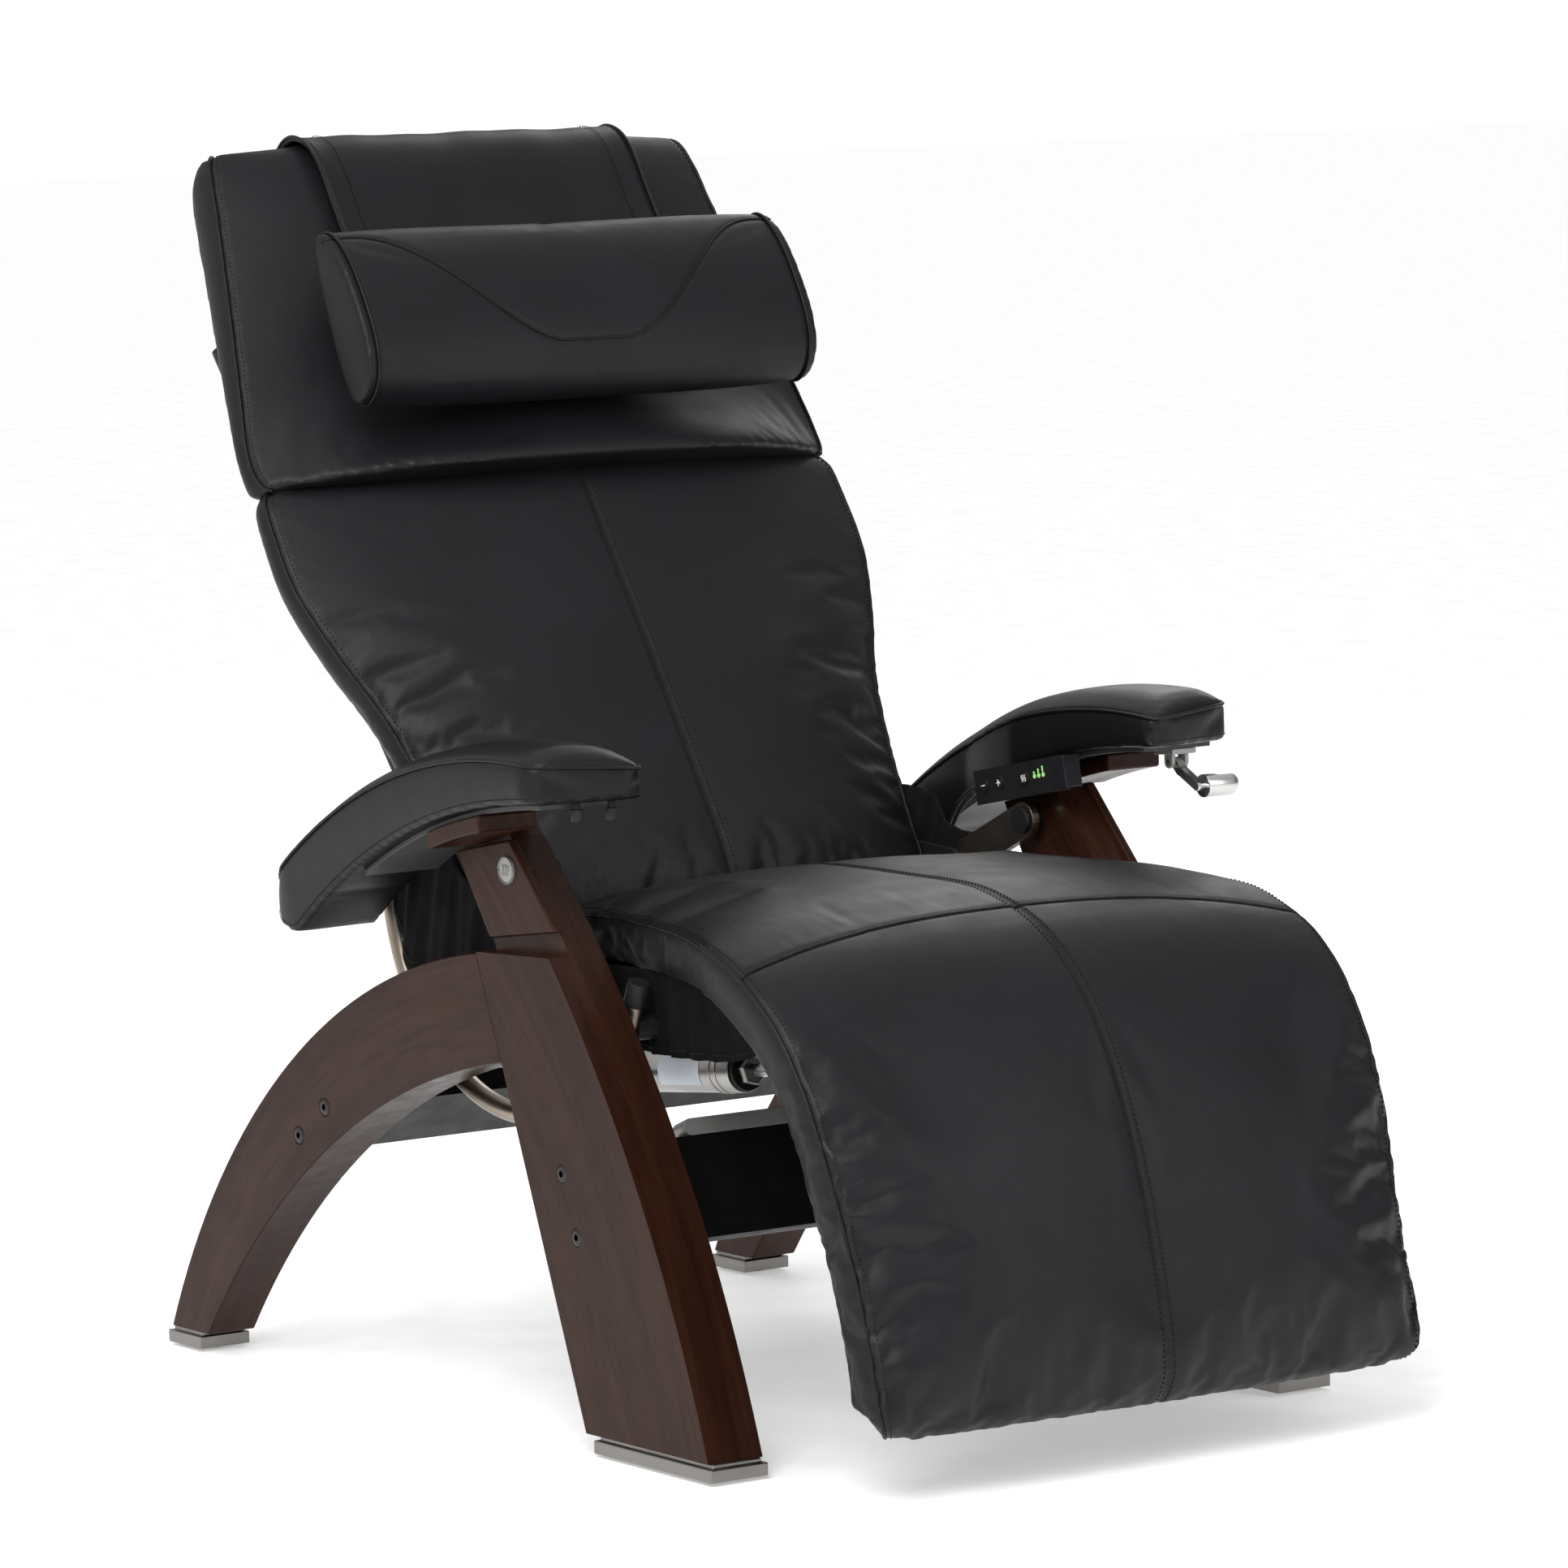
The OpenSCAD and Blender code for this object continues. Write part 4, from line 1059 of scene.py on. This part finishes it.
def build_cylinder_trim():
    """A blank label, two crimp rings and a hex nut on the lock cylinder."""
    side = CYL_AXIS.cross(Vector((0, 0, 1))).normalized()
    up = side.cross(CYL_AXIS)
    rows = []
    for along in np.linspace(0.120, 0.188, 8):
        outer = []
        inner = []
        for turn in np.linspace(math.radians(-35), math.radians(120), 25):
            spoke = side * math.cos(turn) + up * math.sin(turn)
            outer.append(CYL_REAR + CYL_AXIS * along + spoke * (CYL_R + 0.0004))
            inner.append(CYL_REAR + CYL_AXIS * along + spoke * (CYL_R - 0.0003))
        rows.append(outer + inner[::-1])
    label = pad_mesh("cylinder_label", rows, LABEL)
    mark_sharp(label, 30)
    own(label, "cylinder")
    rings = []
    for along in (0.204, 0.214):
        profile = [(-0.0022, CYL_R - 0.001), (-0.0016, CYL_R + 0.0006), (0.0, CYL_R + 0.0010),
                   (0.0016, CYL_R + 0.0006), (0.0022, CYL_R - 0.001)]
        rings.append(lathe("ring", profile, CYL_REAR + CYL_AXIS * along, CYL_AXIS, SILVER, 48))
    own(joined("cylinder_crimp_rings", rings), "cylinder")
    nut_profile = [(0.0, 0.0072), (0.0, 0.0135), (0.0012, 0.0146), (0.0085, 0.0146), (0.010, 0.0132),
                   (0.010, 0.0072)]
    nut = lathe("cylinder_nut", nut_profile, CYL_REAR + CYL_AXIS * 0.2415, CYL_AXIS, NICKEL, 6)
    own(nut, "cylinder")


# ---------- assembly of the looks ----------

dress_cad_nodes()
build_seat_pad()
build_back_pad()
build_head_pad()
build_pillow()
build_flap()
for sign, word in SIDES:
    build_arm_pad(sign, word)
build_side_cloths()
build_bolt_faces()
build_panel_signs()
build_badge_rims()
build_cylinder_trim()


# ---------- camera, floor and light ----------

def add_camera():
    azimuth, elevation, roll = (math.radians(a) for a in (-34.726, 6.094, -1.328))
    target = Vector((0.02362, 0.028, 0.55861))
    back = Vector((math.sin(azimuth) * math.cos(elevation), -math.cos(azimuth) * math.cos(elevation),
                   math.sin(elevation)))
    camera = bpy.data.objects.new("camera", bpy.data.cameras.new("camera"))
    bpy.context.collection.objects.link(camera)
    camera.data.sensor_width = 36.0
    camera.data.lens = 174.83
    camera.data.clip_end = 100.0
    right = (-back).cross(Vector((0, 0, 1))).normalized()
    up = right.cross(-back)
    turned_right = right * math.cos(roll) + up * math.sin(roll)
    turned_up = up * math.cos(roll) - right * math.sin(roll)
    place = target + back * 7.1188
    camera.matrix_world = Matrix((
        (turned_right.x, turned_up.x, back.x, place.x),
        (turned_right.y, turned_up.y, back.y, place.y),
        (turned_right.z, turned_up.z, back.z, place.z),
        (0, 0, 0, 1)))
    bpy.context.scene.camera = camera


def add_softbox(name, place, aim, size, power):
    data = bpy.data.lights.new(name, "AREA")
    data.shape = "RECTANGLE"
    data.size, data.size_y = size
    data.energy = power
    light = bpy.data.objects.new(name, data)
    bpy.context.collection.objects.link(light)
    light.location = place
    light.rotation_euler = (Vector(aim) - Vector(place)).to_track_quat("-Z", "Y").to_euler()


def add_floor():
    """Pale floor that glows a little, so that it stays as white as the backdrop."""
    reach = 40.0
    corners = [(-reach, -reach, 0), (reach, -reach, 0), (reach, reach, 0), (-reach, reach, 0)]
    pale = paint("pale floor", (0.90, 0.90, 0.90), 0.9, 30.0, 0.0)
    floor = mesh_piece("floor", corners, [(0, 1, 2, 3)], pale, False)
    shader = floor.data.materials[0].node_tree.nodes["Principled BSDF"]
    shader.inputs["Emission Color"].default_value = (1.0, 1.0, 1.0, 1.0)
    shader.inputs["Emission Strength"].default_value = 0.34


DOME_TOP = (-0.50, 0.10, 0.86)


def add_world():
    """White backdrop, and a light dome that is brightest above and to the right arm's side."""
    world = bpy.data.worlds.new("studio")
    bpy.context.scene.world = world
    world.use_nodes = True
    nodes, links = world.node_tree.nodes, world.node_tree.links
    seen = nodes["Background"]
    seen.inputs["Color"].default_value = (1.0, 1.0, 1.0, 1.0)
    seen.inputs["Strength"].default_value = 1.05
    toward = nodes.new("ShaderNodeVectorMath")
    toward.operation = "DOT_PRODUCT"
    toward.inputs[1].default_value = DOME_TOP
    links.new(nodes.new("ShaderNodeTexCoord").outputs["Generated"], toward.inputs[0])
    level = nodes.new("ShaderNodeMapRange")
    level.inputs["From Min"].default_value = -0.25
    level.inputs["To Min"].default_value = 0.20
    level.inputs["To Max"].default_value = 1.20
    links.new(toward.outputs["Value"], level.inputs["Value"])
    dome = nodes.new("ShaderNodeBackground")
    links.new(level.outputs["Result"], dome.inputs["Strength"])
    chosen = nodes.new("ShaderNodeMixShader")
    links.new(nodes.new("ShaderNodeLightPath").outputs["Is Camera Ray"], chosen.inputs[0])
    links.new(dome.outputs["Background"], chosen.inputs[1])
    links.new(seen.outputs["Background"], chosen.inputs[2])
    links.new(chosen.outputs["Shader"], nodes["World Output"].inputs["Surface"])
    bpy.context.scene.view_settings.view_transform = "Standard"


add_camera()
add_floor()
add_world()
add_softbox("key light", (-2.6, -2.2, 3.4), (0, 0, 0.6), (2.4, 2.4), 120)
add_softbox("front strip", (1.8, -3.6, 2.0), (0, -0.2, 0.5), (1.2, 2.6), 25)
add_softbox("rim light", (2.6, 2.4, 2.6), (0, 0.2, 0.8), (1.6, 2.4), 25)
